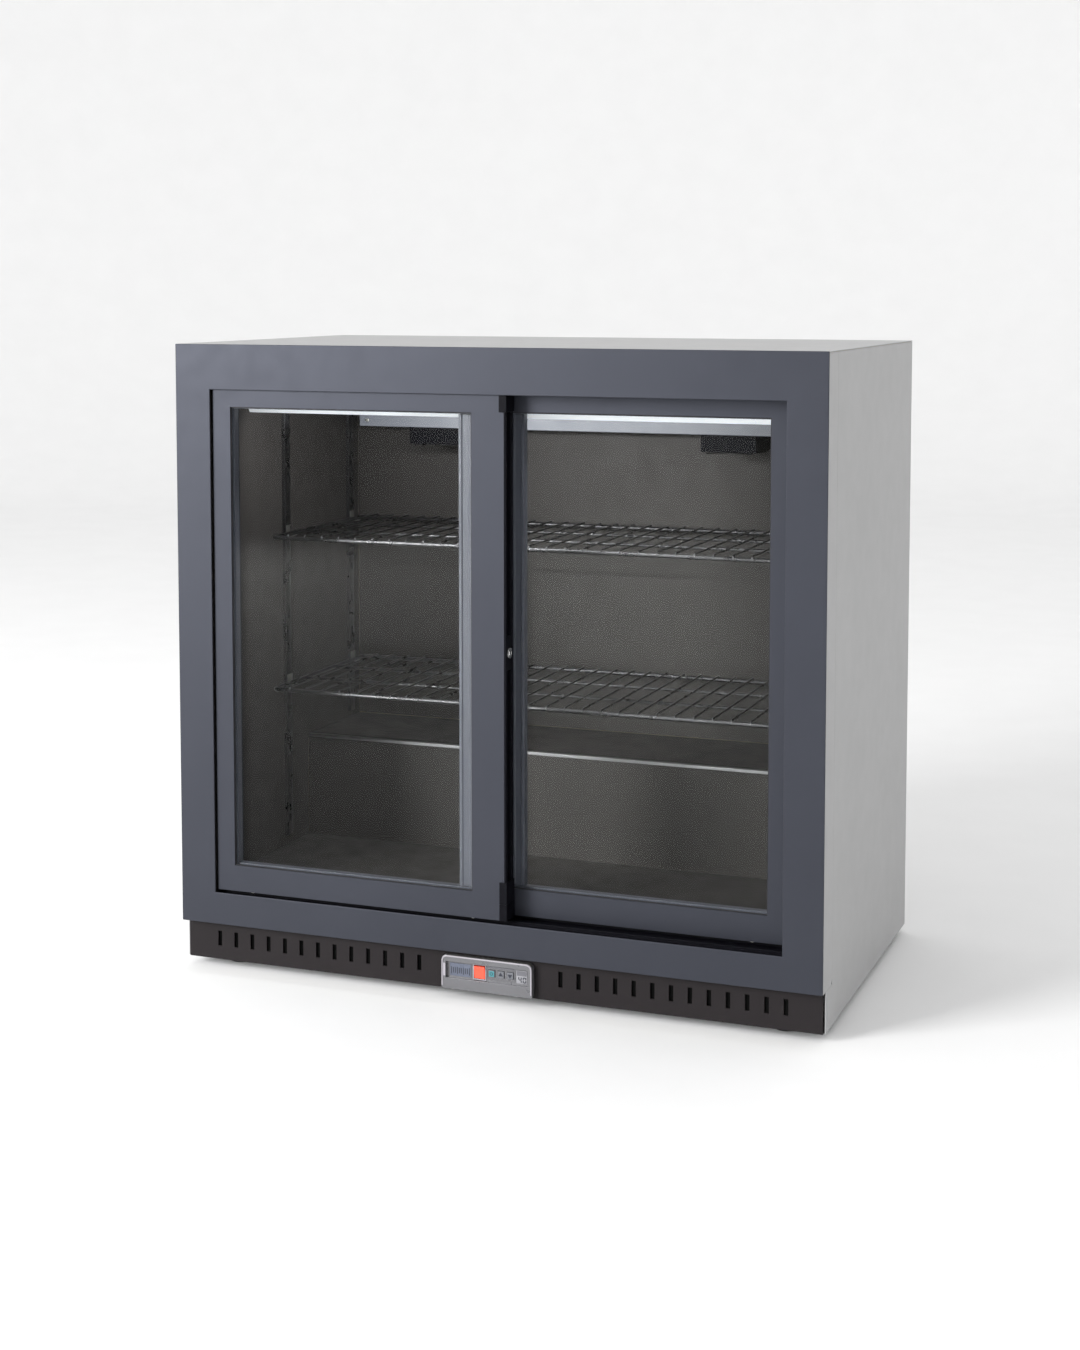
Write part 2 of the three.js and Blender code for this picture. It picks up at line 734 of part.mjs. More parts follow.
// A half-round return bend of tube that stands out of a coil's end.
function returnBend(radius, tube) {
  class Bend extends THREE.Curve {
    getPoint(t, target = new THREE.Vector3()) {
      const angle = Math.PI * (t - 0.5);
      return target.set(radius * Math.cos(angle), 0, radius * Math.sin(angle));
    }
  }
  const section = new THREE.Shape().absarc(0, 0, tube, 0, 2 * Math.PI);
  return new THREE.ExtrudeGeometry(section, { steps: 6, curveSegments: 3, extrudePath: new Bend() });
}

function evaporatorCoil() {
  const half = linerHalf - COVER_SIDE_ROOM - 42;
  const low = coverBottom + 24;
  const high = ceiling - 12;
  const comb = finComb(2 * half, high - low, 16, 8);
  const block = alongY(comb, coverFront + 20, linerBack - 14).translate(-half, 0, low);
  const bends = [0, 1, 2].map((i) => {
    const y = coverFront + 38 + i * 26;
    return returnBend(12, 4).translate(half - 0.5, y, (low + high) / 2);
  });
  return join([block, ...bends]);
}

function fanFrame(side) {
  const x = (side * FAN_SPACING) / 2;
  const half = FAN_SIZE / 2;
  const low = fanTop - FAN_THICKNESS;
  const body = box(x - half, x + half, fanDepth - half, fanDepth + half, low, fanTop);
  const bored = cut(body, [cylinderZ(FAN_BORE, low - 1, fanTop + 1, x, fanDepth, 24)]);
  const arm = FAN_BORE + 1.5;
  return join([
    bored,
    box(x - arm, x + arm, fanDepth - 2, fanDepth + 2, low, low + 3),
    box(x - 2, x + 2, fanDepth - arm, fanDepth + arm, low, low + 3),
    cylinderZ(17, low, low + 4, x, fanDepth, 16),
  ]);
}

// A hub with pitched blades, turned about z and drawn about the origin.
function fanRotor(hub, tip, height, blades, chord, pitch) {
  const parts = [cylinderZ(hub, 0, height, 0, 0, 14)];
  const length = tip - hub + 2;
  for (let i = 0; i < blades; i++) {
    const blade = new THREE.BoxGeometry(length, chord, 1.6);
    blade.rotateX(pitch).translate(hub - 2 + length / 2, 0, height / 2);
    parts.push(blade.rotateZ((i * 2 * Math.PI) / blades));
  }
  return join(parts);
}

// ---- Machine compartment ----
const machineDepth = (bulkheadFront + DEPTH) / 2;
const coilNear = bulkheadFront + 20;
const coilFar = DEPTH - 14;
const condenserX = -halfWidth + FOOT_INSET + FOOT_RADIUS + 50; // coil's inner face
const condenserFanZ = panTop + 8 + (bulkheadTop - panTop - 20) / 2;

function compressorPlace() {
  return [halfWidth - 190, machineDepth];
}

function compressor() {
  const r = COMPRESSOR_RADIUS;
  const h = COMPRESSOR_HEIGHT;
  const low = panTop + 8;
  const shell = turned(
    [
      [0, 0],
      [r - 12, 0],
      [r - 3, 10],
      [r, 30],
      [r, 62],
      [r + 3, 64],
      [r + 3, 70],
      [r, 72],
      [r - 2, 110],
      [r - 12, 138],
      [r - 34, 158],
      [18, h],
      [0, h],
    ],
    20,
  );
  shell.translate(0, 0, low + 3);
  const plate = box(-96, 96, -58, 58, low, low + 4);
  const feet = [
    [-84, -46],
    [84, -46],
    [-84, 46],
    [84, 46],
  ].map(([x, y]) => cylinderZ(9, panTop + GAP, low + 10, x, y, 12));
  const [x, y] = compressorPlace();
  return join([shell, plate, ...feet]).translate(x, y, 0);
}

function terminalCover() {
  const [x, y] = compressorPlace();
  const r = COMPRESSOR_RADIUS;
  const low = panTop + 50;
  const block = box(x - r - 26, x - r + 22, y - 30, y + 30, low, low + 62);
  return cut(block, [cylinderZ(r + 4 + GAP, low - 1, low + 63, x, y, 28)]);
}

function condenserCoil() {
  const low = panTop + GAP;
  const high = bulkheadTop - 16;
  const near = coilNear;
  const far = coilFar;
  const comb = finComb(far - near, high - low, 12, 10);
  const block = alongX(comb, condenserX - 45, condenserX).translate(0, near, low);
  const bends = [0, 1, 2].map((i) => {
    const bend = returnBend(12, 4).rotateZ(-Math.PI / 2);
    return bend.translate(condenserX - 22, near + 0.5, low + 40 + i * 48);
  });
  return join([block, ...bends]);
}

function condenserFanHousing() {
  const r = CONDENSER_FAN_RADIUS + 5;
  const x = condenserX + 1;
  const low = panTop + GAP;
  const high = bulkheadTop - 16;
  const near = coilNear;
  const far = coilFar;
  const plate = box(x, x + 2, near, far, low, high);
  const collar = cylinderX(r + 2, x, x + 16, machineDepth, condenserFanZ, 28);
  const ring = cut(join([plate, collar]), [
    cylinderX(r, x - 1, x + 20, machineDepth, condenserFanZ, 28),
  ]);
  const back = x + 34;
  const reach = r + 4;
  const y = machineDepth;
  const arms = [box(back, back + 3, y - 5, y + 5, condenserFanZ - reach, condenserFanZ + reach)];
  for (const z of [condenserFanZ - reach, condenserFanZ + reach - 3]) {
    arms.push(box(x + 1, back + 3, y - 5, y + 5, z, z + 3));
  }
  const motor = cylinderX(28, back, back + 42, machineDepth, condenserFanZ, 20);
  return join([ring, ...arms, motor]);
}

function inletPlace() {
  return { x: halfWidth - 70, z: panTop + 40 };
}

// Appliance inlet with an open socket facing back.
function powerInlet() {
  const { x, z } = inletPlace();
  const flange = box(x - 28, x + 28, DEPTH - SHEET - GAP - 2, DEPTH - SHEET - GAP, z - 21, z + 21);
  const body = box(x - 23, x + 23, DEPTH - 26, DEPTH - 1, z - 15, z + 15);
  const socket = box(x - 13, x + 13, DEPTH - 20, DEPTH + 1, z - 9, z + 9);
  return cut(join([flange, body]), [socket]);
}

// ---- Controller in the plinth ----
function controllerPlace() {
  return { z: FOOT_HEIGHT + PLINTH_HEIGHT * 0.46, neckHalf: CONTROLLER_WIDTH / 2 - 10, neckTall: 15 };
}

const panelCentre = controllerPlace().z + 3;
const panelFace = PLINTH_SETBACK - CONTROLLER_PROUD + PANEL_RECESS;

function controllerBezel() {
  const { z, neckHalf, neckTall } = controllerPlace();
  const half = CONTROLLER_WIDTH / 2;
  const low = z - CONTROLLER_HEIGHT / 2;
  const high = z + CONTROLLER_HEIGHT / 2;
  const r = CONTROLLER_CORNER;
  const shape = new THREE.Shape();
  shape.moveTo(-half, low).lineTo(half, low).lineTo(half, high - r);
  shape.absarc(half - r, high - r, r, 0, Math.PI / 2);
  shape.lineTo(r - half, high);
  shape.absarc(r - half, high - r, r, Math.PI / 2, Math.PI);
  const face = alongY(shape, PLINTH_SETBACK - CONTROLLER_PROUD, PLINTH_SETBACK - GAP);
  const neck = box(-neckHalf, neckHalf, PLINTH_SETBACK - 1, PLINTH_SETBACK + 26, z - neckTall, z + neckTall);
  const rockerHalf = ROCKER.width / 2 + GAP;
  const rockerTall = ROCKER.height / 2 + GAP;
  const tools = [
    box(6 - half, half - 6, 0, panelFace, panelCentre - 11, panelCentre + 11),
    box(
      ROCKER.x - rockerHalf,
      ROCKER.x + rockerHalf,
      0,
      panelFace + 9,
      panelCentre - rockerTall,
      panelCentre + rockerTall,
    ),
  ];
  for (const x of Object.values(BUTTONS)) {
    const b = BUTTON_SIZE / 2 + GAP;
    tools.push(box(x - b, x + b, 0, panelFace + 7, panelCentre - b, panelCentre + b));
  }
  return cut(join([face, neck]), tools);
}

// The rocker's face is two flats that meet at its pivot line, and it rests with one end pressed in.
function rocker() {
  const tall = ROCKER.height / 2 - 0.4;
  const shape = outline([
    [-2.6, -tall],
    [-1.6, 0],
    [-2.6, tall],
    [3, tall - 0.6],
    [3, 0.6 - tall],
  ]);
  return alongX(shape, -ROCKER.width / 2, ROCKER.width / 2);
}

function pushButton() {
  const half = BUTTON_SIZE / 2;
  return box(-half, half, -1.4, 4.2, -half, half);
}

// ---- Assembly ----
add("front_frame", frontFrame(), framePaint);
for (const [side, mirror] of [["left", -1], ["right", 1]]) {
  add("frame_side_cover_" + side, sideCover(), cabinetPaint).scale.x = mirror;
  add("side_panel_" + side, sidePanel(), cabinetPaint).scale.x = mirror;
  add("liner_side_" + side, sideLiner(), linerPaint).scale.x = mirror;
  for (const place of Object.keys(PILASTER_DEPTHS)) {
    add("shelf_upright_" + place + "_" + side, pilaster(place), brightWire).scale.x = mirror;
  }
}
const topSheet = box(-halfWidth, halfWidth, trackFront, DEPTH, HEIGHT - SHEET, HEIGHT);
add("top_panel", topSheet, cabinetPaint);
const backSheet = box(1 - halfWidth, halfWidth - 1, DEPTH - SHEET, DEPTH, bulkheadTop, panelTop);
add("back_panel", backSheet, cabinetPaint);
add("rear_grille", rearGrille(), galvanised);
add("base_pan", basePan(), galvanised);
add("plinth_grille", plinthGrille(), plinthPaint);
add("machine_bulkhead", bulkhead(), galvanised);
add("liner_ceiling_and_back", ceilingLiner(), linerPaint);
add("liner_floor", floorLiner(), linerPaint);
add("insulation_foam", insulation(), foam);
add("bottom_track", bottomTrack(), blackPlastic);
add("top_track", topTrack(), blackPlastic);
footPlaces().forEach(([x, y], i) => {
  const name = "foot_" + ["front_left", "front_right", "rear_left", "rear_right"][i];
  add(name, foot(), rubber).position.set(x, y, 0);
});

addDoor("left", frontDoorFace);
addDoor("right", rearDoorFace);

add("shelf_lower", shelf(innerFloor + LOWER_SHELF_HEIGHT), brightWire);
add("shelf_upper", shelf(fanTop - FAN_THICKNESS - UPPER_SHELF_ROOM), brightWire);
add("lamp_housing", lampHousing(), silverPlastic);
add("lamp_lens", lampLens(), whiteLens);
add("evaporator_cover", evaporatorCover(), linerPaint);
add("evaporator_coil", evaporatorCoil(), aluminium);
for (const [side, sign] of Object.entries(fanSides)) {
  add("evaporator_fan_frame_" + side, fanFrame(sign), blackPlastic);
  const rotor = fanRotor(15, FAN_BORE - 1.5, 14, 7, 15, 0.6);
  const turning = add("evaporator_fan_rotor_" + side, rotor, blackPlastic);
  turning.position.set((sign * FAN_SPACING) / 2, fanDepth, fanTop - FAN_THICKNESS + 6);
}

add("compressor", compressor(), blackSteel);
add("compressor_terminal_cover", terminalCover(), blackPlastic);
add("condenser_coil", condenserCoil(), blackSteel);
add("condenser_fan_housing", condenserFanHousing(), galvanised);
const condenserRotor = fanRotor(18, CONDENSER_FAN_RADIUS, 18, 5, 46, 0.42).rotateY(Math.PI / 2);
const condenserTurning = add("condenser_fan_rotor", condenserRotor, aluminium);
condenserTurning.position.set(condenserX + 8, machineDepth, condenserFanZ);
add("power_inlet", powerInlet(), blackPlastic);

add("controller_bezel", controllerBezel(), silverPlastic);
const power = add("power_rocker", rocker(), orangePlastic);
power.position.set(ROCKER.x, panelFace + 0.6, panelCentre);
power.rotation.x = THREE.MathUtils.degToRad(ROCKER.tilt);
for (const [name, x] of Object.entries(BUTTONS)) {
  add(name, pushButton(), blackPlastic).position.set(x, panelFace, panelCentre);
}

cooler.position.y = -DEPTH / 2;
export default cooler;
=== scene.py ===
"""Looks of a two-door sliding-glass bottle cooler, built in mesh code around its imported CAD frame.

Metres, +X right, +Y from the doors to the back, +Z up from the floor. Places come from the CAD nodes' boxes.
"""
import json
import math

import bmesh
import bpy
from mathutils import Matrix, Vector


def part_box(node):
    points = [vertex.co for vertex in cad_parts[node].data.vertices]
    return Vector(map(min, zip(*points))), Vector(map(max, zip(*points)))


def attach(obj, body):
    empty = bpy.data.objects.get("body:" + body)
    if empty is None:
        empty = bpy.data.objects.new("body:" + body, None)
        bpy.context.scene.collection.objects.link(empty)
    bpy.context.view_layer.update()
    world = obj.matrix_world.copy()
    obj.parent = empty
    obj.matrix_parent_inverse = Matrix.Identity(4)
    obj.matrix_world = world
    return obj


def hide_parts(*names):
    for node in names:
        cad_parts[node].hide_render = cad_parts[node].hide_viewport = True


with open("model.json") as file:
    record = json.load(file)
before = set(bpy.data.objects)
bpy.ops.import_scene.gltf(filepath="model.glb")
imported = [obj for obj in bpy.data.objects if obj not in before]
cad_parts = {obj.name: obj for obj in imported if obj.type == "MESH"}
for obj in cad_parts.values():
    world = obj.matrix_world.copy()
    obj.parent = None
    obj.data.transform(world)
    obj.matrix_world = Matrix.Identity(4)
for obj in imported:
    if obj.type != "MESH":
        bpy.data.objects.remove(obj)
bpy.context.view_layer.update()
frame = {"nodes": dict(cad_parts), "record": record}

nodes = frame["nodes"]
record = frame["record"]
slot_of = {part["node"]: part["material_slot"] for part in record["subparts"]}
body_of = {node: body for body, names in record["behaviour"]["bodies"].items() for node in names}

MM = 0.001
HAIR = 0.0003  # gap between pieces that meet
WELD = 0.000002  # vertices nearer than this are one
FLAT_ANGLE = math.radians(1.0)  # faces that meet at less lie in one plane
EDGE_ANGLE = math.radians(30.0)  # edges that turn more get a rounding
SMOOTH_ANGLE = math.radians(38.0)  # edges that turn less are shaded smooth
DRIFT_SCALE = 7.0  # the broad drift in a paint's tone
X_AXIS, Y_AXIS, Z_AXIS = Vector((1, 0, 0)), Vector((0, 1, 0)), Vector((0, 0, 1))


# ---- Materials ----

def new_material(name):
    material = bpy.data.materials.new(name)
    material.use_nodes = True
    tree = material.node_tree
    return material, tree, tree.nodes["Principled BSDF"]


def texture(tree, kind, scale, stretch=(1, 1, 1), detail=2.0):
    """A procedural texture in the piece's own coordinates."""
    coordinates = tree.nodes.new("ShaderNodeTexCoord")
    mapping = tree.nodes.new("ShaderNodeMapping")
    mapping.inputs["Scale"].default_value = stretch
    made = tree.nodes.new(kind)
    made.inputs["Scale"].default_value = scale
    if kind == "ShaderNodeTexNoise":
        made.inputs["Detail"].default_value = detail
    tree.links.new(coordinates.outputs["Object"], mapping.inputs["Vector"])
    tree.links.new(mapping.outputs["Vector"], made.inputs["Vector"])
    return made


def ranged(tree, value, low, high, start=0.3, end=0.7):
    """The value, spread from start..end to low..high."""
    made = tree.nodes.new("ShaderNodeMapRange")
    made.inputs["From Min"].default_value = start
    made.inputs["From Max"].default_value = end
    made.inputs["To Min"].default_value = low
    made.inputs["To Max"].default_value = high
    tree.links.new(value, made.inputs["Value"])
    return made.outputs["Result"]


def two_tone(tree, value, first, second):
    mix = tree.nodes.new("ShaderNodeMix")
    mix.data_type = "RGBA"
    mix.inputs["A"].default_value = (*first, 1)
    mix.inputs["B"].default_value = (*second, 1)
    tree.links.new(value, mix.inputs["Factor"])
    return mix.outputs["Result"]


def bumped(tree, shader, height, depth):
    bump = tree.nodes.new("ShaderNodeBump")
    bump.inputs["Strength"].default_value = 1.0
    bump.inputs["Distance"].default_value = depth
    tree.links.new(height, bump.inputs["Height"])
    tree.links.new(bump.outputs["Normal"], shader.inputs["Normal"])


def surface(name, colour, spread=0.06, rough=(0.35, 0.45), grain=900, depth=0.00002, metallic=0.0,
            stretch=(1, 1, 1), specular=0.5, coat=0.0, gloss_tint=(1, 1, 1)):
    """A coated, moulded or metal surface: a broad drift in tone, a finer one in gloss, and a fine relief."""
    material, tree, shader = new_material(name)
    drift = texture(tree, "ShaderNodeTexNoise", DRIFT_SCALE, detail=4.0).outputs["Fac"]
    relief = texture(tree, "ShaderNodeTexNoise", grain, stretch).outputs["Fac"]
    light = tuple(min(1.0, c * (1 + spread)) for c in colour)
    dark = tuple(c * (1 - spread) for c in colour)
    tree.links.new(two_tone(tree, ranged(tree, drift, 0, 1), dark, light), shader.inputs["Base Color"])
    gloss = texture(tree, "ShaderNodeTexNoise", DRIFT_SCALE * 5, stretch, detail=3.0).outputs["Fac"]
    tree.links.new(ranged(tree, gloss, *rough), shader.inputs["Roughness"])
    bumped(tree, shader, relief, depth)
    shader.inputs["Metallic"].default_value = metallic
    shader.inputs["Specular IOR Level"].default_value = specular
    shader.inputs["Specular Tint"].default_value = (*gloss_tint, 1)
    shader.inputs["Coat Weight"].default_value = coat
    shader.inputs["Coat Roughness"].default_value = 0.2
    return material


def spangled(name, colour):
    """Hot-dip zinc: crystals that each take the light a little differently."""
    material, tree, shader = new_material(name)
    cells = texture(tree, "ShaderNodeTexVoronoi", 120)
    split = tree.nodes.new("ShaderNodeSeparateColor")
    tree.links.new(cells.outputs["Color"], split.inputs["Color"])
    light = tuple(c * 1.18 for c in colour)
    dark = tuple(c * 0.82 for c in colour)
    tree.links.new(two_tone(tree, split.outputs["Red"], dark, light), shader.inputs["Base Color"])
    tree.links.new(ranged(tree, split.outputs["Green"], 0.32, 0.52, 0, 1), shader.inputs["Roughness"])
    fine = texture(tree, "ShaderNodeTexNoise", 400).outputs["Fac"]
    bumped(tree, shader, fine, 0.00003)
    shader.inputs["Metallic"].default_value = 0.9
    return material


def glowing(name, colour, strength):
    """A lit diffuser, a little uneven along its length."""
    material, tree, shader = new_material(name)
    uneven = texture(tree, "ShaderNodeTexNoise", 30).outputs["Fac"]
    dim = tuple(c * 0.88 for c in colour)
    tone = two_tone(tree, ranged(tree, uneven, 0, 1), dim, colour)
    tree.links.new(tone, shader.inputs["Base Color"])
    tree.links.new(tone, shader.inputs["Emission Color"])
    shader.inputs["Emission Strength"].default_value = strength
    shader.inputs["Roughness"].default_value = 0.4
    return material


def pane_glass(name, tint, smear):
    """Clear float glass with faint smears. Lamps and diffused light pass straight through it."""
    material, tree, shader = new_material(name)
    shader.inputs["Base Color"].default_value = (*tint, 1)
    shader.inputs["Transmission Weight"].default_value = 1.0
    shader.inputs["IOR"].default_value = 1.12  # below glass, so the pale room's reflections stay faint
    wiped = texture(tree, "ShaderNodeTexNoise", 9, (1, 1, 0.3), 3.0).outputs["Fac"]
    tree.links.new(ranged(tree, wiped, 0.0, smear), shader.inputs["Roughness"])
    clear = tree.nodes.new("ShaderNodeBsdfTransparent")
    clear.inputs["Color"].default_value = (*tint, 1)
    rays = tree.nodes.new("ShaderNodeLightPath")
    through = tree.nodes.new("ShaderNodeMath")
    through.operation = "MAXIMUM"
    tree.links.new(rays.outputs["Is Shadow Ray"], through.inputs[0])
    tree.links.new(rays.outputs["Is Diffuse Ray"], through.inputs[1])
    mix = tree.nodes.new("ShaderNodeMixShader")
    tree.links.new(through.outputs[0], mix.inputs["Fac"])
    tree.links.new(shader.outputs["BSDF"], mix.inputs[1])
    tree.links.new(clear.outputs["BSDF"], mix.inputs[2])
    tree.links.new(mix.outputs["Shader"], tree.nodes["Material Output"].inputs["Surface"])
    return material


finish = {
    "frame_paint": surface("frame_paint", (0.023, 0.0245, 0.031), 0.06, (0.38, 0.46), specular=0.36,
                           gloss_tint=(0.80, 0.84, 1.0)),
    # cabinet_paint: the sides, top and side covers are the same dark paint as the front frame; this light
    # grey is painted light, the bright sheen that paint takes when seen at a glancing angle
    "cabinet_paint": surface("cabinet_paint", (0.35, 0.35, 0.352), 0.03, (0.40, 0.45), 900, 0.000004),
    "plinth_paint": surface("plinth_paint", (0.015, 0.0125, 0.0135), 0.08, (0.5, 0.6), specular=0.15),
    "liner_sheet": surface("liner_sheet", (0.0315, 0.0288, 0.0276), 0.08, (0.5, 0.62), 400, 0.00001,
                           specular=0.3),
    "foam": surface("foam", (0.66, 0.55, 0.28), 0.12, (0.85, 0.95), 160, 0.0006),
    "black_plastic": surface("black_plastic", (0.004, 0.004, 0.006), 0.15, (0.42, 0.54), 1400, 0.00002,
                             specular=0.06),
    "roller_nylon": surface("roller_nylon", (0.62, 0.61, 0.56), 0.05, (0.3, 0.42), 500),
    "button_plastic": surface("button_plastic", (0.13, 0.135, 0.15), 0.1, (0.25, 0.35), 800),
    "silver_plastic": surface("silver_plastic", (0.155, 0.155, 0.165), 0.05, (0.26, 0.36), 900,
                              metallic=0.45, coat=0.2),
    "orange_plastic": surface("orange_plastic", (0.86, 0.09, 0.045), 0.06, (0.18, 0.28), 600, coat=0.4),
    "galvanised_steel": spangled("galvanised_steel", (0.42, 0.43, 0.44)),
    "bright_wire": surface("bright_wire", (0.085, 0.085, 0.09), 0.08, (0.24, 0.36), 700, metallic=1.0),
    "lock_chrome": surface("lock_chrome", (0.82, 0.82, 0.82), 0.03, (0.06, 0.14), 700, 0.000005,
                           metallic=1.0),
    "fin_aluminium": surface("fin_aluminium", (0.62, 0.63, 0.64), 0.08, (0.3, 0.45), 500, 0.00004,
                             metallic=1.0, stretch=(1, 1, 0.1)),
    "black_steel": surface("black_steel", (0.016, 0.016, 0.017), 0.12, (0.22, 0.34), 260, 0.00006),
    "copper_tube": surface("copper_tube", (0.72, 0.30, 0.17), 0.18, (0.22, 0.4), 300, 0.00003,
                           metallic=1.0),
    "foot_rubber": surface("foot_rubber", (0.018, 0.018, 0.018), 0.15, (0.6, 0.75), 700, 0.00005),
    "pane_glass": pane_glass("pane_glass", (0.948, 0.953, 0.946), 0.008),
    "lamp_lens": glowing("lamp_lens", (0.90, 0.93, 1.0), 0.40),
}
spacer_paint = surface("spacer_paint", (0.075, 0.081, 0.102), 0.06, (0.3, 0.42), 600, 0.00001)
gasket_rubber = surface("gasket_rubber", (0.014, 0.014, 0.016), 0.12, (0.5, 0.65), 900, specular=0.3)
pile_brush = surface("pile_brush", (0.02, 0.02, 0.022), 0.3, (0.8, 0.95), 2600, 0.0003,
                     stretch=(1, 0.08, 1), specular=0.1)
zinc_screw = surface("zinc_screw", (0.6, 0.6, 0.58), 0.08, (0.25, 0.38), 800, metallic=1.0)
display_glass = surface("display_glass", (0.27, 0.27, 0.29), 0.06, (0.14, 0.22), 500, 0.000004, coat=0.3)
tint_plate = surface("tint_plate", (0.12, 0.12, 0.135), 0.08, (0.2, 0.3), 600, coat=0.3)
pale_mark = surface("pale_mark", (0.35, 0.335, 0.365), 0.04, (0.3, 0.4), 800)
teal_mark = surface("teal_mark", (0.05, 0.22, 0.25), 0.08, (0.3, 0.4), 800)
# A near-black sheet with no gloss, put behind the plinth's slots as painted shade
filter_foam = surface("filter_foam", (0.004, 0.004, 0.004), 0.4, (0.9, 1.0), 1500, 0.0004, specular=0.0)
cover_sheet = surface("cover_sheet", (0.15, 0.16, 0.19), 0.05, (0.35, 0.5), 500, 0.00002)
ink_mark = surface("ink_mark", (0.016, 0.018, 0.028), 0.1, (0.3, 0.4), 800)
scale_window = surface("scale_window", (0.10, 0.115, 0.16), 0.12, (0.2, 0.3), 600, coat=0.3)
trim_aluminium = surface("trim_aluminium", (0.30, 0.30, 0.31), 0.05, (0.24, 0.34), 500, 0.00002,
                         metallic=1.0, stretch=(0.05, 1, 1))


# ---- Mesh helpers ----

def add_block(bm, low, high):
    low, high = Vector(low), Vector(high)
    size = Matrix.Diagonal((*(high - low), 1))
    bmesh.ops.create_cube(bm, size=1.0, matrix=Matrix.Translation((low + high) / 2) @ size)


def join_loops(bm, one, other):
    """A band of faces between two loops with as many vertices."""
    count = len(one)
    for i in range(count):
        j = (i + 1) % count
        bm.faces.new((one[i], one[j], other[j], other[i]))


def add_ring(bm, low, high, border):
    """A mitred rectangular ring that stands in the XZ plane, from low.y to high.y deep."""
    def corners(y, inset):
        left, right = low[0] + inset, high[0] - inset
        bottom, top = low[2] + inset, high[2] - inset
        around = ((left, bottom), (right, bottom), (right, top), (left, top))
        return [bm.verts.new((x, y, z)) for x, z in around]

    loops = [corners(low[1], 0), corners(low[1], border), corners(high[1], border), corners(high[1], 0)]
    for one, other in zip(loops, loops[1:] + loops[:1]):
        join_loops(bm, one, other)


def turned_to(axis):
    """The rotation that takes +Z to the axis."""
    return Z_AXIS.rotation_difference(Vector(axis)).to_matrix().to_4x4()


def add_lathe(bm, profile, origin, axis=Z_AXIS, steps=40):
    """A solid of revolution. The profile is (radius, height) pairs that start and end on the axis.

    A profile that stays clear of the axis is closed on itself, as a ring.
    """
    place = Matrix.Translation(origin) @ turned_to(axis)
    rings = []
    for radius, height in profile:
        count = 1 if radius == 0 else steps
        turns = [2 * math.pi * i / steps for i in range(count)]
        rings.append([bm.verts.new(place @ Vector((radius * math.cos(t), radius * math.sin(t), height)))
                      for t in turns])
    pairs = list(zip(rings, rings[1:]))
    if profile[0][0] > 0:
        pairs.append((rings[-1], rings[0]))
    for one, other in pairs:
        for i in range(steps):
            j = (i + 1) % steps
            quad = [one[i % len(one)], one[j % len(one)], other[j % len(other)], other[i % len(other)]]
            corners = list(dict.fromkeys(quad))
            if len(corners) > 2:
                bm.faces.new(corners)


def add_washer(bm, inner, outer, thick, origin, axis):
    add_lathe(bm, [(inner, 0), (outer, 0), (outer, thick), (inner, thick)], origin, axis, 32)


def add_outline(bm, points, axis, start, end):
    """The flat outline pushed along an axis. Its points are given in the other two axes, in order."""
    def corner(point, along):
        place = list(point)
        place.insert(axis, along)
        return bm.verts.new(place)

    first, last = [[corner(point, along) for point in points] for along in (start, end)]
    bm.faces.new(first)
    bm.faces.new(last)
    join_loops(bm, first, last)


def add_tray(bm, low, high, wall):
    """An open box with walls and a floor of one thickness."""
    def corners(inset, z):
        left, right = low[0] + inset, high[0] - inset
        front, back = low[1] + inset, high[1] - inset
        around = ((left, front), (right, front), (right, back), (left, back))
        return [bm.verts.new((x, y, z)) for x, y in around]

    loops = [corners(0, low[2]), corners(0, high[2]), corners(wall, high[2]), corners(wall, low[2] + wall)]
    bm.faces.new(loops[0])
    bm.faces.new(loops[-1])
    for one, other in zip(loops, loops[1:]):
        join_loops(bm, one, other)


def add_prism(bm, sides, radius, origin, axis, height, turn=0.0):
    place = Matrix.Translation(origin) @ turned_to(axis)
    angles = [turn + 2 * math.pi * i / sides for i in range(sides)]
    first, last = [[bm.verts.new(place @ Vector((radius * math.cos(a), radius * math.sin(a), h)))
                    for a in angles] for h in (0, height)]
    bm.faces.new(first)
    bm.faces.new(last)
    join_loops(bm, first, last)


def bent(points, radius, steps=6):
    """The path through the points with its corners rounded to the radius."""
    points = [Vector(p) for p in points]
    path = [points[0]]
    for before, corner, after in zip(points, points[1:], points[2:]):
        a, b = (before - corner).normalized(), (after - corner).normalized()
        half = a.angle(b) / 2
        reach = min(radius / math.tan(half), (before - corner).length / 2, (after - corner).length / 2)
        start, end = corner + a * reach, corner + b * reach
        for i in range(steps + 1):
            t = i / steps
            path.append(start * (1 - t) ** 2 + corner * 2 * t * (1 - t) + end * t * t)
    return path + [points[-1]]


def add_tube(bm, path, radius, sides=12, closed=False):
    """A round bar along the path."""
    path = [Vector(p) for p in path]
    count = len(path)
    rings, normal = [], None
    for i, point in enumerate(path):
        if closed:
            tangent = (path[(i + 1) % count] - path[i - 1]).normalized()
        else:
            tangent = (path[min(i + 1, count - 1)] - path[max(i - 1, 0)]).normalized()
        if normal is None:
            normal = tangent.orthogonal().normalized()
        normal = (normal - tangent * normal.dot(tangent)).normalized()
        side = tangent.cross(normal)
        rings.append([bm.verts.new(point + (normal * math.cos(a) + side * math.sin(a)) * radius)
                      for a in (2 * math.pi * k / sides for k in range(sides))])
    pairs = list(zip(rings, rings[1:]))
    if closed:
        pairs.append((rings[-1], rings[0]))
    for one, other in pairs:
        join_loops(bm, one, other)
    if not closed:
        bm.faces.new(rings[0])
        bm.faces.new(rings[-1])


def round_edges(bm, width, segments):
    sharp = [e for e in bm.edges if len(e.link_faces) == 2 and e.calc_face_angle(0) > EDGE_ANGLE]
    bmesh.ops.bevel(bm, geom=sharp, offset=width, segments=segments, profile=0.5, affect="EDGES",
                    clamp_overlap=True)


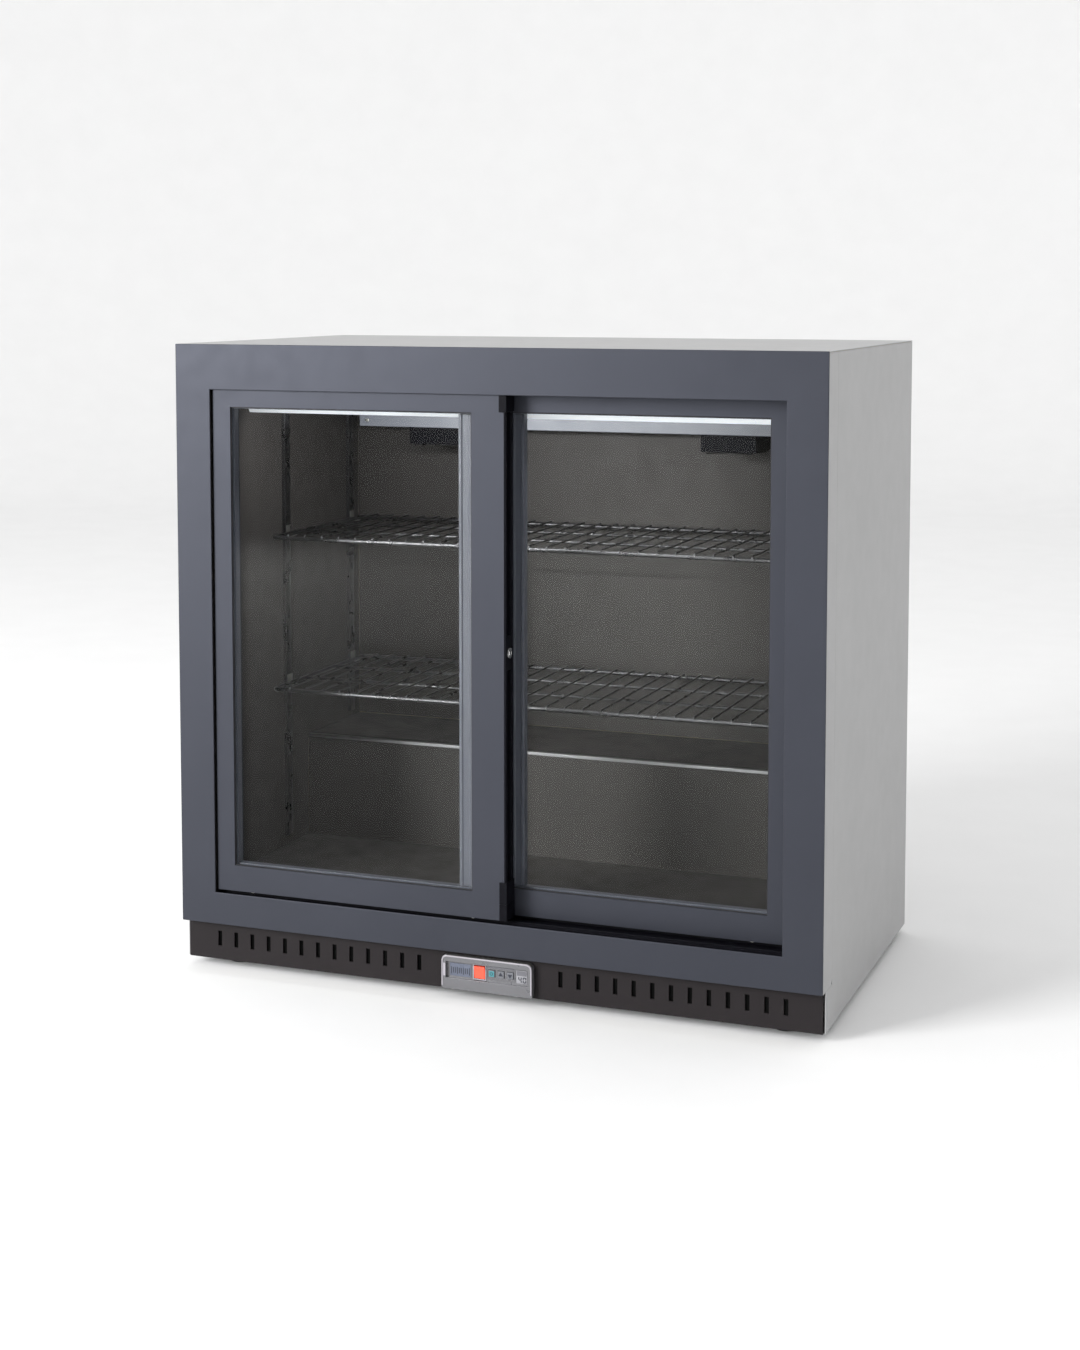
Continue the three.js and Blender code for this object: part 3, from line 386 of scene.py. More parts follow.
def piece(name, bm, material, body, slot=None, edge=0.0, segments=2, replaces=()):
    """The mesh as a smooth-shaded object that rides on a CAD body."""
    bmesh.ops.recalc_face_normals(bm, faces=bm.faces)
    if edge:
        round_edges(bm, edge, segments)
    mesh = bpy.data.meshes.new(name)
    bm.to_mesh(mesh)
    bm.free()
    mesh.shade_smooth()
    mesh.set_sharp_from_angle(angle=SMOOTH_ANGLE)
    mesh.materials.append(material)
    made = bpy.data.objects.new(name, mesh)
    bpy.context.scene.collection.objects.link(made)
    weighted = made.modifiers.new("face weighted normals", "WEIGHTED_NORMAL")
    weighted.keep_sharp = True
    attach(made, body)
    if replaces:
        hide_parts(*replaces)


def for_node(node, bm, suffix, material=None, **options):
    """A detailed piece that stands for one CAD node, with its body and finish."""
    slot = slot_of[node]
    material = material or finish[slot]
    piece(node + suffix, bm, material, body_of[node], slot, replaces=(node,), **options)


def refine(node, edge, segments=2, material=None):
    """The CAD node's own shape with its flat faces made whole and its edges rounded."""
    bm = bmesh.new()
    bm.from_mesh(nodes[node].data)
    bmesh.ops.remove_doubles(bm, verts=bm.verts, dist=WELD)
    bmesh.ops.dissolve_limit(bm, angle_limit=FLAT_ANGLE, verts=bm.verts, edges=bm.edges)
    for_node(node, bm, "_finished", material, edge=edge, segments=segments)


def add_screw(bm, origin, axis, radius):
    """A hex washer-head screw that stands on a face. Its parts are shares of the washer's radius."""
    washer, bevel, head, head_tall = 0.3 * radius, 0.86 * radius, 0.66 * radius, 0.55 * radius
    flange = [(0, 0), (radius, 0), (radius, washer / 2), (bevel, washer), (0, washer)]
    add_lathe(bm, flange, origin, axis, 20)
    add_prism(bm, 6, head, Vector(origin) + Vector(axis) * washer, axis, head_tall)


def screws(name, places, axis, body, radius=4.2 * MM):
    """A row of screws as one piece."""
    bm = bmesh.new()
    for place in places:
        add_screw(bm, place, axis, radius)
    piece(name, bm, zinc_screw, body, edge=0.2 * MM, segments=1)


# ---- Cabinet ----

def build_outer_cabinet():
    refine("front_frame", 0.9 * MM, 3)
    for side in ("left", "right"):
        refine(f"frame_side_cover_{side}", 0.35 * MM)
        refine(f"side_panel_{side}", 0.4 * MM)
    refine("top_panel", 0.45 * MM, 3)
    refine("back_panel", 0.4 * MM)
    refine("base_pan", 0.3 * MM)
    refine("plinth_grille", 0.5 * MM)
    refine("rear_grille", 0.25 * MM)
    refine("machine_bulkhead", 0.3 * MM)
    refine("bottom_track", 0.4 * MM)
    refine("top_track", 0.4 * MM)


def build_inner_cabinet():
    for node in ("liner_side_left", "liner_side_right", "liner_ceiling_and_back", "liner_floor",
                 "insulation_foam", "lamp_housing"):
        refine(node, 0.3 * MM)
    refine("evaporator_cover", 0.8 * MM, 3, cover_sheet)
    refine("lamp_lens", 1.5 * MM, 3)
    for place in ("front_left", "front_right", "rear_left", "rear_right"):
        refine(f"shelf_upright_{place}", 0.25 * MM)


build_outer_cabinet()
build_inner_cabinet()


# ---- Shelves ----

def build_shelf(node):
    """A wire shelf: a rounded border rod, cross rods, and top wires that turn down at the front."""
    low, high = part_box(node)
    rod, wire, pitch = 3.0 * MM, 1.5 * MM, 26 * MM
    cross_rod, turn_down = rod * 0.75, rod * 0.6
    border_bend, wire_bend = 10 * MM, 3.5 * MM
    bm = bmesh.new()
    z = high.z - 2 * wire - rod
    x0, x1, y0, y1 = low.x + rod, high.x - rod, low.y + rod, high.y - rod
    corners = [(x0, y0, z), (x1, y0, z), (x1, y1, z), (x0, y1, z)]
    start = Vector(((x0 + x1) / 2, y0, z))
    loop = bent([start, corners[1], corners[2], corners[3], corners[0], start], border_bend)
    add_tube(bm, loop[:-1], rod, 14, closed=True)
    for share in (1 / 3, 2 / 3):
        y = y0 + (y1 - y0) * share
        add_tube(bm, [(x0, y, z), (x1, y, z)], cross_rod, 12)
    count = round((x1 - x0) / pitch)
    for i in range(1, count):
        x = x0 + (x1 - x0) * i / count
        top, front = high.z - wire, y0 - rod + wire
        run = [(x, y1 + rod - wire, top), (x, front, top), (x, front, z - turn_down)]
        add_tube(bm, bent(run, wire_bend, 4), wire, 8)
    for_node(node, bm, "_wires")


build_shelf("shelf_lower")
build_shelf("shelf_upper")


# ---- Doors ----

PANE_GRIP = 8 * MM  # glass edge held inside the door frame
RING_INSET = 2 * MM  # from the glass edge to the spacer ring


def build_door(side):
    """The door's own nodes, the spacer ring between its panes, and the gasket in front of them."""
    body = f"{side}_door"
    outer_low, outer_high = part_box(f"{side}_door_outer_pane")
    inner_low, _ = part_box(f"{side}_door_inner_pane")
    refine(f"{side}_door_frame", 1.1 * MM, 3)
    refine(f"{side}_door_edge_grip", 0.5 * MM)
    refine(f"{side}_door_outer_pane", 0)
    refine(f"{side}_door_inner_pane", 0)

    bm = bmesh.new()
    inset = Vector((RING_INSET, 0, RING_INSET))
    spacer_low = Vector((outer_low.x, outer_high.y + HAIR, outer_low.z)) + inset
    spacer_high = Vector((outer_high.x, inner_low.y - HAIR, outer_high.z)) - inset
    add_ring(bm, spacer_low, spacer_high, PANE_GRIP + 0.5 * MM)
    piece(f"{side}_door_glass_spacer", bm, spacer_paint, body, edge=0.4 * MM)

    bm = bmesh.new()
    proud, clear, lip = 1.6 * MM, 0.05 * MM, 1.4 * MM
    sight = Vector((PANE_GRIP, 0, PANE_GRIP))
    gasket_low = Vector((outer_low.x, outer_low.y - proud, outer_low.z)) + sight
    gasket_high = Vector((outer_high.x, outer_low.y - clear, outer_high.z)) - sight
    add_ring(bm, gasket_low, gasket_high, lip)
    piece(f"{side}_door_glazing_gasket", bm, gasket_rubber, body, edge=0.5 * MM)


build_door("left")
build_door("right")


def build_lap_spacer(side):
    """The wide bar between a door's panes at its lap stile: two ribs with a channel between them."""
    outer_low, outer_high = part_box(f"{side}_door_outer_pane")
    inner_low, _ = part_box(f"{side}_door_inner_pane")
    front, back = outer_high.y + HAIR, inner_low.y - HAIR
    width, rib, dip, slope = 18 * MM, 4 * MM, 1.2 * MM, 1 * MM
    past_ring = RING_INSET + PANE_GRIP + 0.8 * MM
    lap, away = (outer_high.x, -1) if side == "left" else (outer_low.x, 1)
    face = ((0, 0), (rib, 0), (rib + slope, dip), (width - rib - slope, dip), (width - rib, 0), (width, 0))
    section = [(lap + away * (past_ring + across), front + deep) for across, deep in face]
    section += [(lap + away * (past_ring + width), back), (lap + away * past_ring, back)]
    clear = past_ring + 0.2 * MM
    bm = bmesh.new()
    add_outline(bm, section, 2, outer_low.z + clear, outer_high.z - clear)
    piece(f"{side}_door_lap_spacer", bm, spacer_paint, f"{side}_door", edge=0.3 * MM)


def build_end_caps():
    """Black caps that wrap the front corner of the left door's lap stile at its two ends."""
    low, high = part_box("left_door_edge_grip")
    frame_low, frame_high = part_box("left_door_frame")
    track_low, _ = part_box("top_track")
    wall, over, tall, block = 1.4 * MM, 6.5 * MM, 51 * MM, 22 * MM
    front = frame_low.y - HAIR
    left, right = frame_high.x - over, high.x
    inner = right - wall
    wrapped = [(left, front - wall), (right, front - wall), (right, high.y), (inner, high.y),
               (inner, front), (left, front)]
    bm = bmesh.new()
    add_outline(bm, wrapped, 2, low.z + block + HAIR, low.z + tall)
    piece("left_door_lower_cap", bm, finish["black_plastic"], "left_door", edge=0.4 * MM)
    ends = (("toe", low.z + HAIR, low.z + block), ("head", track_low.z - block, track_low.z - HAIR))
    for name, bottom, top in ends:
        bm = bmesh.new()
        add_block(bm, (left, front - wall, bottom), (right, front, top))
        piece(f"left_door_{name}_cap", bm, finish["black_plastic"], "left_door", edge=0.4 * MM)


def build_lock():
    """A cam lock's barrel with its keyway, in a chrome collar on the grip's solid middle."""
    low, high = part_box("door_lock")
    radius = (high.z - low.z) / 2
    centre = Vector((low.x, (low.y + high.y) / 2, (low.z + high.z) / 2))
    length = high.x - low.x
    rounding, rim, dish = 0.7 * MM, 1.3 * MM, 0.25 * MM
    bm = bmesh.new()
    profile = [(0, 0), (radius, 0), (radius, length - rounding), (radius - rounding, length),
               (radius - rim, length), (radius - rim - 0.2 * MM, length - dish), (0, length - dish)]
    add_lathe(bm, profile, centre, X_AXIS)
    for_node("door_lock", bm, "_barrel")
    bm = bmesh.new()
    face = centre + X_AXIS * (length - dish)
    half_slot, half_key, proud = 0.4 * MM, 2.3 * MM, 0.06 * MM
    add_block(bm, face - Vector((0, half_slot, half_key)), face + Vector((proud, half_slot, half_key)))
    piece("door_lock_keyway", bm, finish["black_plastic"], body_of["door_lock"])
    grip_proud, collar_wide, collar_thick = 2.3 * MM, 2.6 * MM, 1.1 * MM
    seat = Vector((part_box("left_door_frame")[1].x + grip_proud, centre.y, centre.z))
    bm = bmesh.new()
    add_washer(bm, radius + HAIR, radius + collar_wide, collar_thick, seat, X_AXIS)
    piece("door_lock_collar", bm, finish["lock_chrome"], "left_door", edge=0.35 * MM)


def build_seals():
    """Pile brushes: one between the doors where they lap, and one down each door's outer edge."""
    left_low, left_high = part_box("left_door_frame")
    right_low, right_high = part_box("right_door_frame")
    bottom = left_low.z + 6 * MM
    top = left_high.z - 6 * MM
    x = right_low.x + 22 * MM
    half_base, base, half_pile, clear = 4 * MM, 0.9 * MM, 1.5 * MM, 0.05 * MM
    back = left_high.y + clear
    pile_end = back + (right_low.y - left_high.y) - 0.5 * MM
    bm = bmesh.new()
    add_block(bm, (x - half_base, back, bottom), (x + half_base, back + base, top))
    add_block(bm, (x - half_pile, back + base, bottom), (x + half_pile, pile_end, top))
    piece("lap_brush_seal", bm, pile_brush, "left_door")

    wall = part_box("liner_side_right")[0].x - 0.7 * MM
    half_brush, behind_face, head_room = 2.5 * MM, 13 * MM, 22 * MM
    edges = (("left", left_low.x, -1, left_low.y), ("right", right_high.x, 1, right_low.y))
    for side, edge, sign, door_front in edges:
        bm = bmesh.new()
        x0, x1 = sorted((edge + sign * clear, sign * wall))
        y = door_front + behind_face
        add_block(bm, (x0, y - half_brush, bottom), (x1, y + half_brush, left_high.z - head_room))
        piece(f"{side}_door_jamb_brush", bm, pile_brush, f"{side}_door")


for side in ("left", "right"):
    build_lap_spacer(side)
build_end_caps()
build_lock()
build_seals()


# ---- Inside the cold space ----

def build_hump_trim():
    """A bright angle over the front edge of the machine compartment's step."""
    low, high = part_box("liner_floor")
    on_top = [v.co.y for v in nodes["liner_floor"].data.vertices if v.co.z > high.z - 1 * MM]
    edge_y = min(on_top)
    trim, leg, drop = 0.9 * MM, 6 * MM, 3 * MM
    section = [(edge_y - HAIR - trim, high.z - drop), (edge_y - HAIR, high.z - drop),
               (edge_y - HAIR, high.z + HAIR), (edge_y + leg, high.z + HAIR),
               (edge_y + leg, high.z + HAIR + trim), (edge_y - HAIR - trim, high.z + HAIR + trim)]
    bm = bmesh.new()
    add_outline(bm, section, 0, low.x + 1 * MM, high.x - 1 * MM)
    piece("hump_edge_trim", bm, trim_aluminium, "cabinet", edge=0.25 * MM)


def build_shelf_clips():
    """A bent steel clip on each upright carries the shelf's corner."""
    thick, wide, reach, tall, clear = 1.1 * MM, 14 * MM, 11 * MM, 14 * MM, 0.4 * MM
    for level in ("lower", "upper"):
        bm = bmesh.new()
        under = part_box(f"shelf_{level}")[0].z - clear
        for place in ("front_left", "front_right", "rear_left", "rear_right"):
            low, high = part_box(f"shelf_upright_{place}")
            sign = 1 if low.x > 0 else -1
            wall = min(abs(low.x), abs(high.x)) - HAIR
            y = (low.y + high.y) / 2
            leg = [(wall - reach, under - thick), (wall, under - thick), (wall, under + tall),
                   (wall - thick, under + tall), (wall - thick, under), (wall - reach, under)]
            add_outline(bm, [(sign * x, z) for x, z in leg], 1, y - wide / 2, y + wide / 2)
        piece(f"shelf_clips_{level}", bm, zinc_screw, "cabinet", edge=0.25 * MM)


def build_fan_guard(side):
    """Five wire rings on a cross of four straight wires, just under the fan."""
    low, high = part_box(f"evaporator_fan_frame_{side}")
    x, y, z = (low.x + high.x) / 2, (low.y + high.y) / 2, low.z - 1.1 * MM
    inner_ring, outer_ring, ring_gap, drop = 13 * MM, 37 * MM, 6 * MM, 1.3 * MM
    bm = bmesh.new()
    turns = [2 * math.pi * i / 40 for i in range(40)]
    for k in range(5):
        radius = inner_ring + k * ring_gap
        ring = [(x + radius * math.cos(t), y + radius * math.sin(t), z) for t in turns]
        add_tube(bm, ring, 0.7 * MM, 8, closed=True)
    for k in range(4):
        t = math.pi / 4 + math.pi / 2 * k
        ray = Vector((math.cos(t), math.sin(t), 0))
        centre = Vector((x, y, z - drop))
        ends = [centre + ray * (inner_ring - 1 * MM), centre + ray * (outer_ring + 11 * MM)]
        add_tube(bm, ends, 0.8 * MM, 8)
    piece(f"evaporator_fan_guard_{side}", bm, finish["black_steel"], "cabinet")


def build_cover_screws():
    low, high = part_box("evaporator_cover")
    from_side, from_edge = 12 * MM, 9 * MM
    places = [(x, low.y, z) for x in (low.x + from_side, high.x - from_side)
              for z in (low.z + from_edge, high.z - from_edge)]
    screws("evaporator_cover_screws", places, -Y_AXIS, "cabinet", 3.2 * MM)


build_hump_trim()
build_shelf_clips()
for side in ("left", "right"):
    build_fan_guard(side)
build_cover_screws()


# ---- Controller ----

SEGMENTS = {"0": "abcdef", "4": "fgbc"}
RAISED = 0.15 * MM  # height of a mark on a face


def add_digit(bm, digit, x, z, wide, tall, face):
    """A seven-segment digit with its lower left corner at x, z, on a face that looks along -Y."""
    bar = tall * 0.19
    half, gap = tall / 2, bar * 0.3
    places = {
        "a": (bar, tall - bar, wide - bar, tall),
        "b": (wide - bar, half + gap, wide, tall - gap),
        "c": (wide - bar, gap, wide, half - gap),
        "d": (bar, 0, wide - bar, bar),
        "e": (0, gap, bar, half - gap),
        "f": (0, half + gap, bar, tall - gap),
        "g": (bar, half - bar / 2, wide - bar, half + bar / 2),
    }
    for name in SEGMENTS[digit]:
        x0, z0, x1, z1 = places[name]
        add_block(bm, (x + x0, face - 0.12 * MM, z + z0), (x + x1, face, z + z1))


def build_scale(left, right, face, z, half_tall):
    """A ruled window between the bezel's end and the rocker."""
    bm = bmesh.new()
    glass = face - 0.6 * MM
    add_block(bm, (left, glass, z - half_tall), (right, face, z + half_tall))
    piece("controller_scale_window", bm, scale_window, "cabinet", edge=0.25 * MM)
    bm = bmesh.new()
    ticks, margin, half_tick = 10, 2.2 * MM, 0.55 * MM
    for i in range(ticks):
        x = left + margin + (right - left - 2 * margin) * i / (ticks - 1)
        reach = half_tall * (0.55 if i % 3 else 0.72)
        add_block(bm, (x - half_tick, glass - RAISED, z - reach), (x + half_tick, glass, z + reach * 0.6))
    piece("controller_scale_ticks", bm, ink_mark, "cabinet")


def build_display(left, right, face, z, half_tall):
    """A pale display with two dark digits under a tinted band."""
    bm = bmesh.new()
    glass = face - 0.6 * MM
    add_block(bm, (left, glass, z - half_tall), (right, face, z + half_tall))
    piece("controller_display", bm, display_glass, "cabinet", edge=0.25 * MM)
    bm = bmesh.new()
    digit_wide, digit_tall, pitch, margin, rise = 5.0 * MM, 8.0 * MM, 6.4 * MM, 2.6 * MM, 0.9 * MM
    for i, digit in enumerate("40"):
        x = left + margin + i * pitch
        add_digit(bm, digit, x, z - half_tall + rise, digit_wide, digit_tall, glass)
    piece("controller_digits", bm, ink_mark, "cabinet")
    bm = bmesh.new()
    inset, band_low, band_high = 0.7 * MM, 1.6 * MM, 7.9 * MM
    add_block(bm, (left + inset, glass - RAISED, z + band_low), (right - inset, glass, z + band_high))
    piece("controller_display_band", bm, tint_plate, "cabinet")


def build_button_marks(node):
    """A teal cap with a ring on the set button, and an arrow on the other two."""
    low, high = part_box(node)
    centre = Vector(((low.x + high.x) / 2, low.y - 0.02 * MM, (low.z + high.z) / 2))
    bm = bmesh.new()
    if node == "button_set":
        half_cap, cap = 3.7 * MM, 0.3 * MM
        add_block(bm, centre - Vector((half_cap, cap, half_cap)), centre + Vector((half_cap, 0, half_cap)))
        piece("button_set_cap", bm, teal_mark, body_of[node], edge=0.12 * MM)
        bm = bmesh.new()
        add_washer(bm, 1.5 * MM, 2.2 * MM, RAISED, centre - Y_AXIS * 0.32 * MM, -Y_AXIS)
    else:
        turn = 90 if node == "button_up" else -90
        add_prism(bm, 3, 3.5 * MM, centre, -Y_AXIS, RAISED, math.radians(turn))
    piece(f"{node}_mark", bm, ink_mark, body_of[node])


def build_controller():
    bezel_low, bezel_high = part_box("controller_bezel")
    set_low, set_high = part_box("button_set")
    _, down_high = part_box("button_down")
    rocker_low, rocker_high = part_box("power_rocker")
    pocket, clear = 4.5 * MM, 0.05 * MM
    face = bezel_low.y + pocket - clear  # just off the floor of the bezel's pocket
    z = (set_low.z + set_high.z) / 2
    half_tall = 8.6 * MM  # of the two windows

    scale_start, scale_end = bezel_low.x + 10.5 * MM, rocker_low.x - 4.5 * MM
    build_scale(scale_start, scale_end, face, z, half_tall)
    bm = bmesh.new()
    bar_start, bar_end = 2.5 * MM, 5.7 * MM
    add_block(bm, (bezel_low.x + bar_start, bezel_low.y - 0.5 * MM, z - half_tall),
              (bezel_low.x + bar_end, bezel_low.y - clear, z + half_tall))
    piece("controller_end_bar", bm, pale_mark, "cabinet", edge=0.3 * MM)

    bm = bmesh.new()
    border, half_rocker = 1.1 * MM, 8.8 * MM
    hole = border + 0.5 * MM
    add_ring(bm, (rocker_low.x - hole, face - 0.9 * MM, z - half_rocker - hole),
             (rocker_high.x + hole, face, z + half_rocker + hole), border)
    piece("power_rocker_surround", bm, pale_mark, "cabinet", edge=0.3 * MM)

    bm = bmesh.new()
    room, half_button, proud = 2.4 * MM, 4.5 * MM, 0.5 * MM
    add_ring(bm, (set_low.x - room, face - proud, z - half_button - room),
             (down_high.x + room, face, z + half_button + room), 1.0 * MM)
    piece("button_surround", bm, finish["silver_plastic"], "cabinet", slot="silver_plastic", edge=0.2 * MM)

    display_start, display_end = down_high.x + 4.2 * MM, bezel_high.x - 8.2 * MM
    build_display(display_start, display_end, face, z, half_tall)
    bm = bmesh.new()
    plate_low, plate_high, past = 7.4 * MM, 9.6 * MM, 1 * MM
    add_block(bm, (set_low.x - past, face - proud, z + plate_low), (down_high.x + past, face, z + plate_high))
    piece("button_tint_plate", bm, tint_plate, "cabinet", edge=0.15 * MM)
    for node in ("button_set", "button_up", "button_down"):
        build_button_marks(node)


def build_bezel_rim():
    """The raised rim round the controller's top and sides."""
    low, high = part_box("controller_bezel")
    rim, inset, bottom, corner = 1.1 * MM, 1.3 * MM, low.z + 4 * MM, 8 * MM
    left, right, top = low.x + inset, high.x - inset, high.z - inset
    path = [(left, low.y, bottom), (left, low.y, top), (right, low.y, top), (right, low.y, bottom)]
    bm = bmesh.new()
    add_tube(bm, bent(path, corner), rim, 12)
    piece("controller_rim", bm, pale_mark, "cabinet")


def build_plinth_slot_shade():
    """Black sheets behind the plinth's slots, one on each side of the controller: painted shade that keeps
    the slots dark.
    """
    _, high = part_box("plinth_grille")
    pan_low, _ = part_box("base_pan")
    near, far = 62 * MM, high.x - 8 * MM
    front, thick = high.y + 0.4 * MM, 2 * MM
    bottom, top = pan_low.z + 2.4 * MM, high.z - 2 * MM
    for name, sign in (("left", -1), ("right", 1)):
        x0, x1 = sorted((sign * near, sign * far))
        bm = bmesh.new()
        add_block(bm, (x0, front, bottom), (x1, front + thick, top))
        piece(f"plinth_slot_shade_{name}", bm, filter_foam, "cabinet", edge=0.3 * MM)


refine("controller_bezel", 0.7 * MM, 3)
refine("power_rocker", 0.6 * MM, 3)
for node in ("button_set", "button_up", "button_down"):
    refine(node, 0.7 * MM, 3)
build_bezel_rim()
build_controller()
build_plinth_slot_shade()


# ---- Feet, machinery and fasteners ----

def build_foot(node):
    """A rubber pad on a threaded stud, locked by a nut."""
    low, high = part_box(node)
    radius = (high.x - low.x) / 2
    centre = Vector(((low.x + high.x) / 2, (low.y + high.y) / 2, low.z))
    neck, neck_top, nut_start, nut_tall = radius * 0.56, 7.2 * MM, 7.3 * MM, 4.1 * MM
    pad = [(0, 0), (radius - 2.2 * MM, 0), (radius - 0.8 * MM, 0.5 * MM), (radius, 1.8 * MM),
           (radius, 3.6 * MM), (radius - 1 * MM, 4.8 * MM), (radius * 0.62, 6.6 * MM), (neck, neck_top),
           (0, neck_top)]
    bm = bmesh.new()
    add_lathe(bm, pad, centre)
    for_node(node, bm, "_pad")

    bm = bmesh.new()
    add_prism(bm, 6, radius * 0.55, centre + Z_AXIS * nut_start, Z_AXIS, nut_tall)
    crest, root, half_turns = 4.6 * MM, 4.0 * MM, 18
    thread_start = nut_start + nut_tall
    top = high.z - low.z - HAIR
    thread = [(0, nut_start)]
    for i in range(half_turns + 1):
        rise = thread_start + (top - thread_start) * i / half_turns
        thread.append((crest if i % 2 else root, rise))
    add_lathe(bm, thread + [(0, top)], centre, steps=24)
    piece(f"{node}_stud", bm, zinc_screw, "cabinet")


def build_compressor():
    """A drawn steel pot with a welded waist and a domed lid, on a plate with rubber mounts."""
    low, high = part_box("compressor")
    x, y = (low.x + high.x) / 2, (low.y + high.y) / 2
    radius = (high.y - low.y) / 2 - 3 * MM
    plate_low = low.z + 7.7 * MM
    base = plate_low + 3 * MM
    top = high.z - base
    waist, weld, corner_in, corner_up = 64 * MM, 2.8 * MM, 16 * MM, 24 * MM
    profile = [(0, 0)]
    for i in range(9):
        a = math.pi / 2 * i / 8
        profile.append((radius - corner_in * (1 - math.sin(a)), corner_up * (1 - math.cos(a))))
    profile += [(radius, waist), (radius + weld, waist + 1.2 * MM), (radius + weld, waist + 6 * MM),
                (radius, waist + 7.5 * MM)]
    dome, dome_steps = top - waist - 32 * MM, 14
    for i in range(1, dome_steps):
        a = math.pi / 2 * i / dome_steps
        profile.append(((radius - 1 * MM) * math.cos(a) ** 0.8, top - dome + dome * math.sin(a)))
    profile.append((0, top))
    bm = bmesh.new()
    add_lathe(bm, profile, Vector((x, y, base)), steps=64)
    for_node("compressor", bm, "_shell")

    bm = bmesh.new()
    half_x, half_y, plate = (high.x - low.x) / 2, 58 * MM, 2.8 * MM
    add_block(bm, (x - half_x, y - half_y, plate_low), (x + half_x, y + half_y, plate_low + plate))
    piece("compressor_plate", bm, finish["black_steel"], "cabinet", edge=0.6 * MM)

    rubber, bolts = bmesh.new(), bmesh.new()
    grommet = [(0, 0), (9 * MM, 0), (9 * MM, 5 * MM), (6.5 * MM, 6 * MM), (6.5 * MM, 7.6 * MM), (0, 7.6 * MM)]
    collar = [(0, 0), (8.6 * MM, 0), (8.6 * MM, 4 * MM), (7.8 * MM, 5 * MM), (0, 5 * MM)]
    collar_rise, bolt_rise, mount_x, mount_y = 10.6 * MM, 15.7 * MM, 84 * MM, 46 * MM
    for sx in (-1, 1):
        for sy in (-1, 1):
            foot = Vector((x + sx * mount_x, y + sy * mount_y, low.z))
            add_lathe(rubber, grommet, foot, steps=28)
            add_lathe(rubber, collar, foot + Z_AXIS * collar_rise, steps=28)
            add_screw(bolts, foot + Z_AXIS * bolt_rise, Z_AXIS, 6 * MM)
    piece("compressor_mounts", rubber, finish["foot_rubber"], "cabinet", slot="foot_rubber", edge=0.4 * MM)
    piece("compressor_bolts", bolts, zinc_screw, "cabinet", edge=0.3 * MM)


def build_discharge(pot_x, pot_y, coil_x, coil_front, lane):
    """From the compressor's side to the top of the condenser coil."""
    z = 62 * MM
    rise = z + 90 * MM
    path = [(pot_x - 58 * MM, pot_y - 50 * MM, z), (pot_x - 95 * MM, lane, z), (coil_x, lane, z),
            (coil_x, lane, rise), (coil_x, coil_front - HAIR, rise)]
    bm = bmesh.new()
    add_tube(bm, bent(path, 14 * MM), 3.2 * MM, 14)
    piece("discharge_pipe", bm, finish["copper_tube"], "cabinet")


def build_liquid_line(coil_x, coil_front, lane, roof):
    """From the foot of the condenser coil through the filter drier and the capillary to the roof."""
    copper = finish["copper_tube"]
    z = 36 * MM
    drier_left, drier_right = -170 * MM, -70 * MM
    path = [(coil_x, coil_front - HAIR, z), (coil_x, lane, z), (drier_left, lane, z)]
    bm = bmesh.new()
    add_tube(bm, bent(path, 6 * MM), 2.6 * MM, 14)
    piece("liquid_pipe", bm, copper, "cabinet")

    length, body, shoulder, neck = drier_right - drier_left, 7.2 * MM, 20 * MM, 12 * MM
    drier = [(0, 0), (2.9 * MM, 0), (3.2 * MM, neck), (body, shoulder), (body, length - shoulder),
             (3.0 * MM, length - neck), (1.8 * MM, length), (0, length)]
    bm = bmesh.new()
    add_lathe(bm, drier, Vector((drier_left, lane, z)), X_AXIS, 32)
    piece("filter_drier", bm, copper, "cabinet")

    turns, steps, radius, pitch = 4, 20, 24 * MM, 3.2 * MM
    centre = Vector((-20 * MM, lane + 34 * MM, 70 * MM))
    coil = []
    for i in range(turns * steps + 1):
        a = 2 * math.pi * i / steps - math.pi / 2
        coil.append(centre + Vector((radius * math.cos(a), radius * math.sin(a), pitch * i / steps)))
    lead = [(drier_right, lane, z), (drier_right + 20 * MM, lane, z),
            (drier_right + 30 * MM, lane + 10 * MM, 68 * MM)]
    riser = 30 * MM
    tail = [coil[-1] + Vector((20 * MM, 0, 4 * MM)), (riser, lane, 130 * MM), (riser, lane, roof)]
    bm = bmesh.new()
    add_tube(bm, bent(lead, 8 * MM) + coil + tail, 1.1 * MM, 10)
    piece("capillary_tube", bm, copper, "cabinet")


def build_suction(pot_x, pot_y, lane, roof):
    """The insulated line from the roof down to the compressor."""
    z, x = 92 * MM, pot_x + 52 * MM
    path = [(pot_x + 40 * MM, pot_y - 64 * MM, z), (x, lane, z), (x, lane, roof)]
    bm = bmesh.new()
    add_tube(bm, bent(path, 14 * MM), 5.6 * MM, 16)
    piece("suction_pipe_sleeve", bm, gasket_rubber, "cabinet")


def build_pipes():
    """The refrigerant lines, which run in one lane in front of the condenser coil."""
    pot_low, pot_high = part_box("compressor")
    coil_low, coil_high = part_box("condenser_coil")
    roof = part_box("machine_bulkhead")[1].z - 2.2 * MM
    lane = coil_low.y - 8 * MM
    coil_x = (coil_low.x + coil_high.x) / 2
    pot_x, pot_y = (pot_low.x + pot_high.x) / 2, (pot_low.y + pot_high.y) / 2
    build_discharge(pot_x, pot_y, coil_x, coil_low.y, lane)
    build_liquid_line(coil_x, coil_low.y, lane, roof)
    build_suction(pot_x, pot_y, lane, roof)


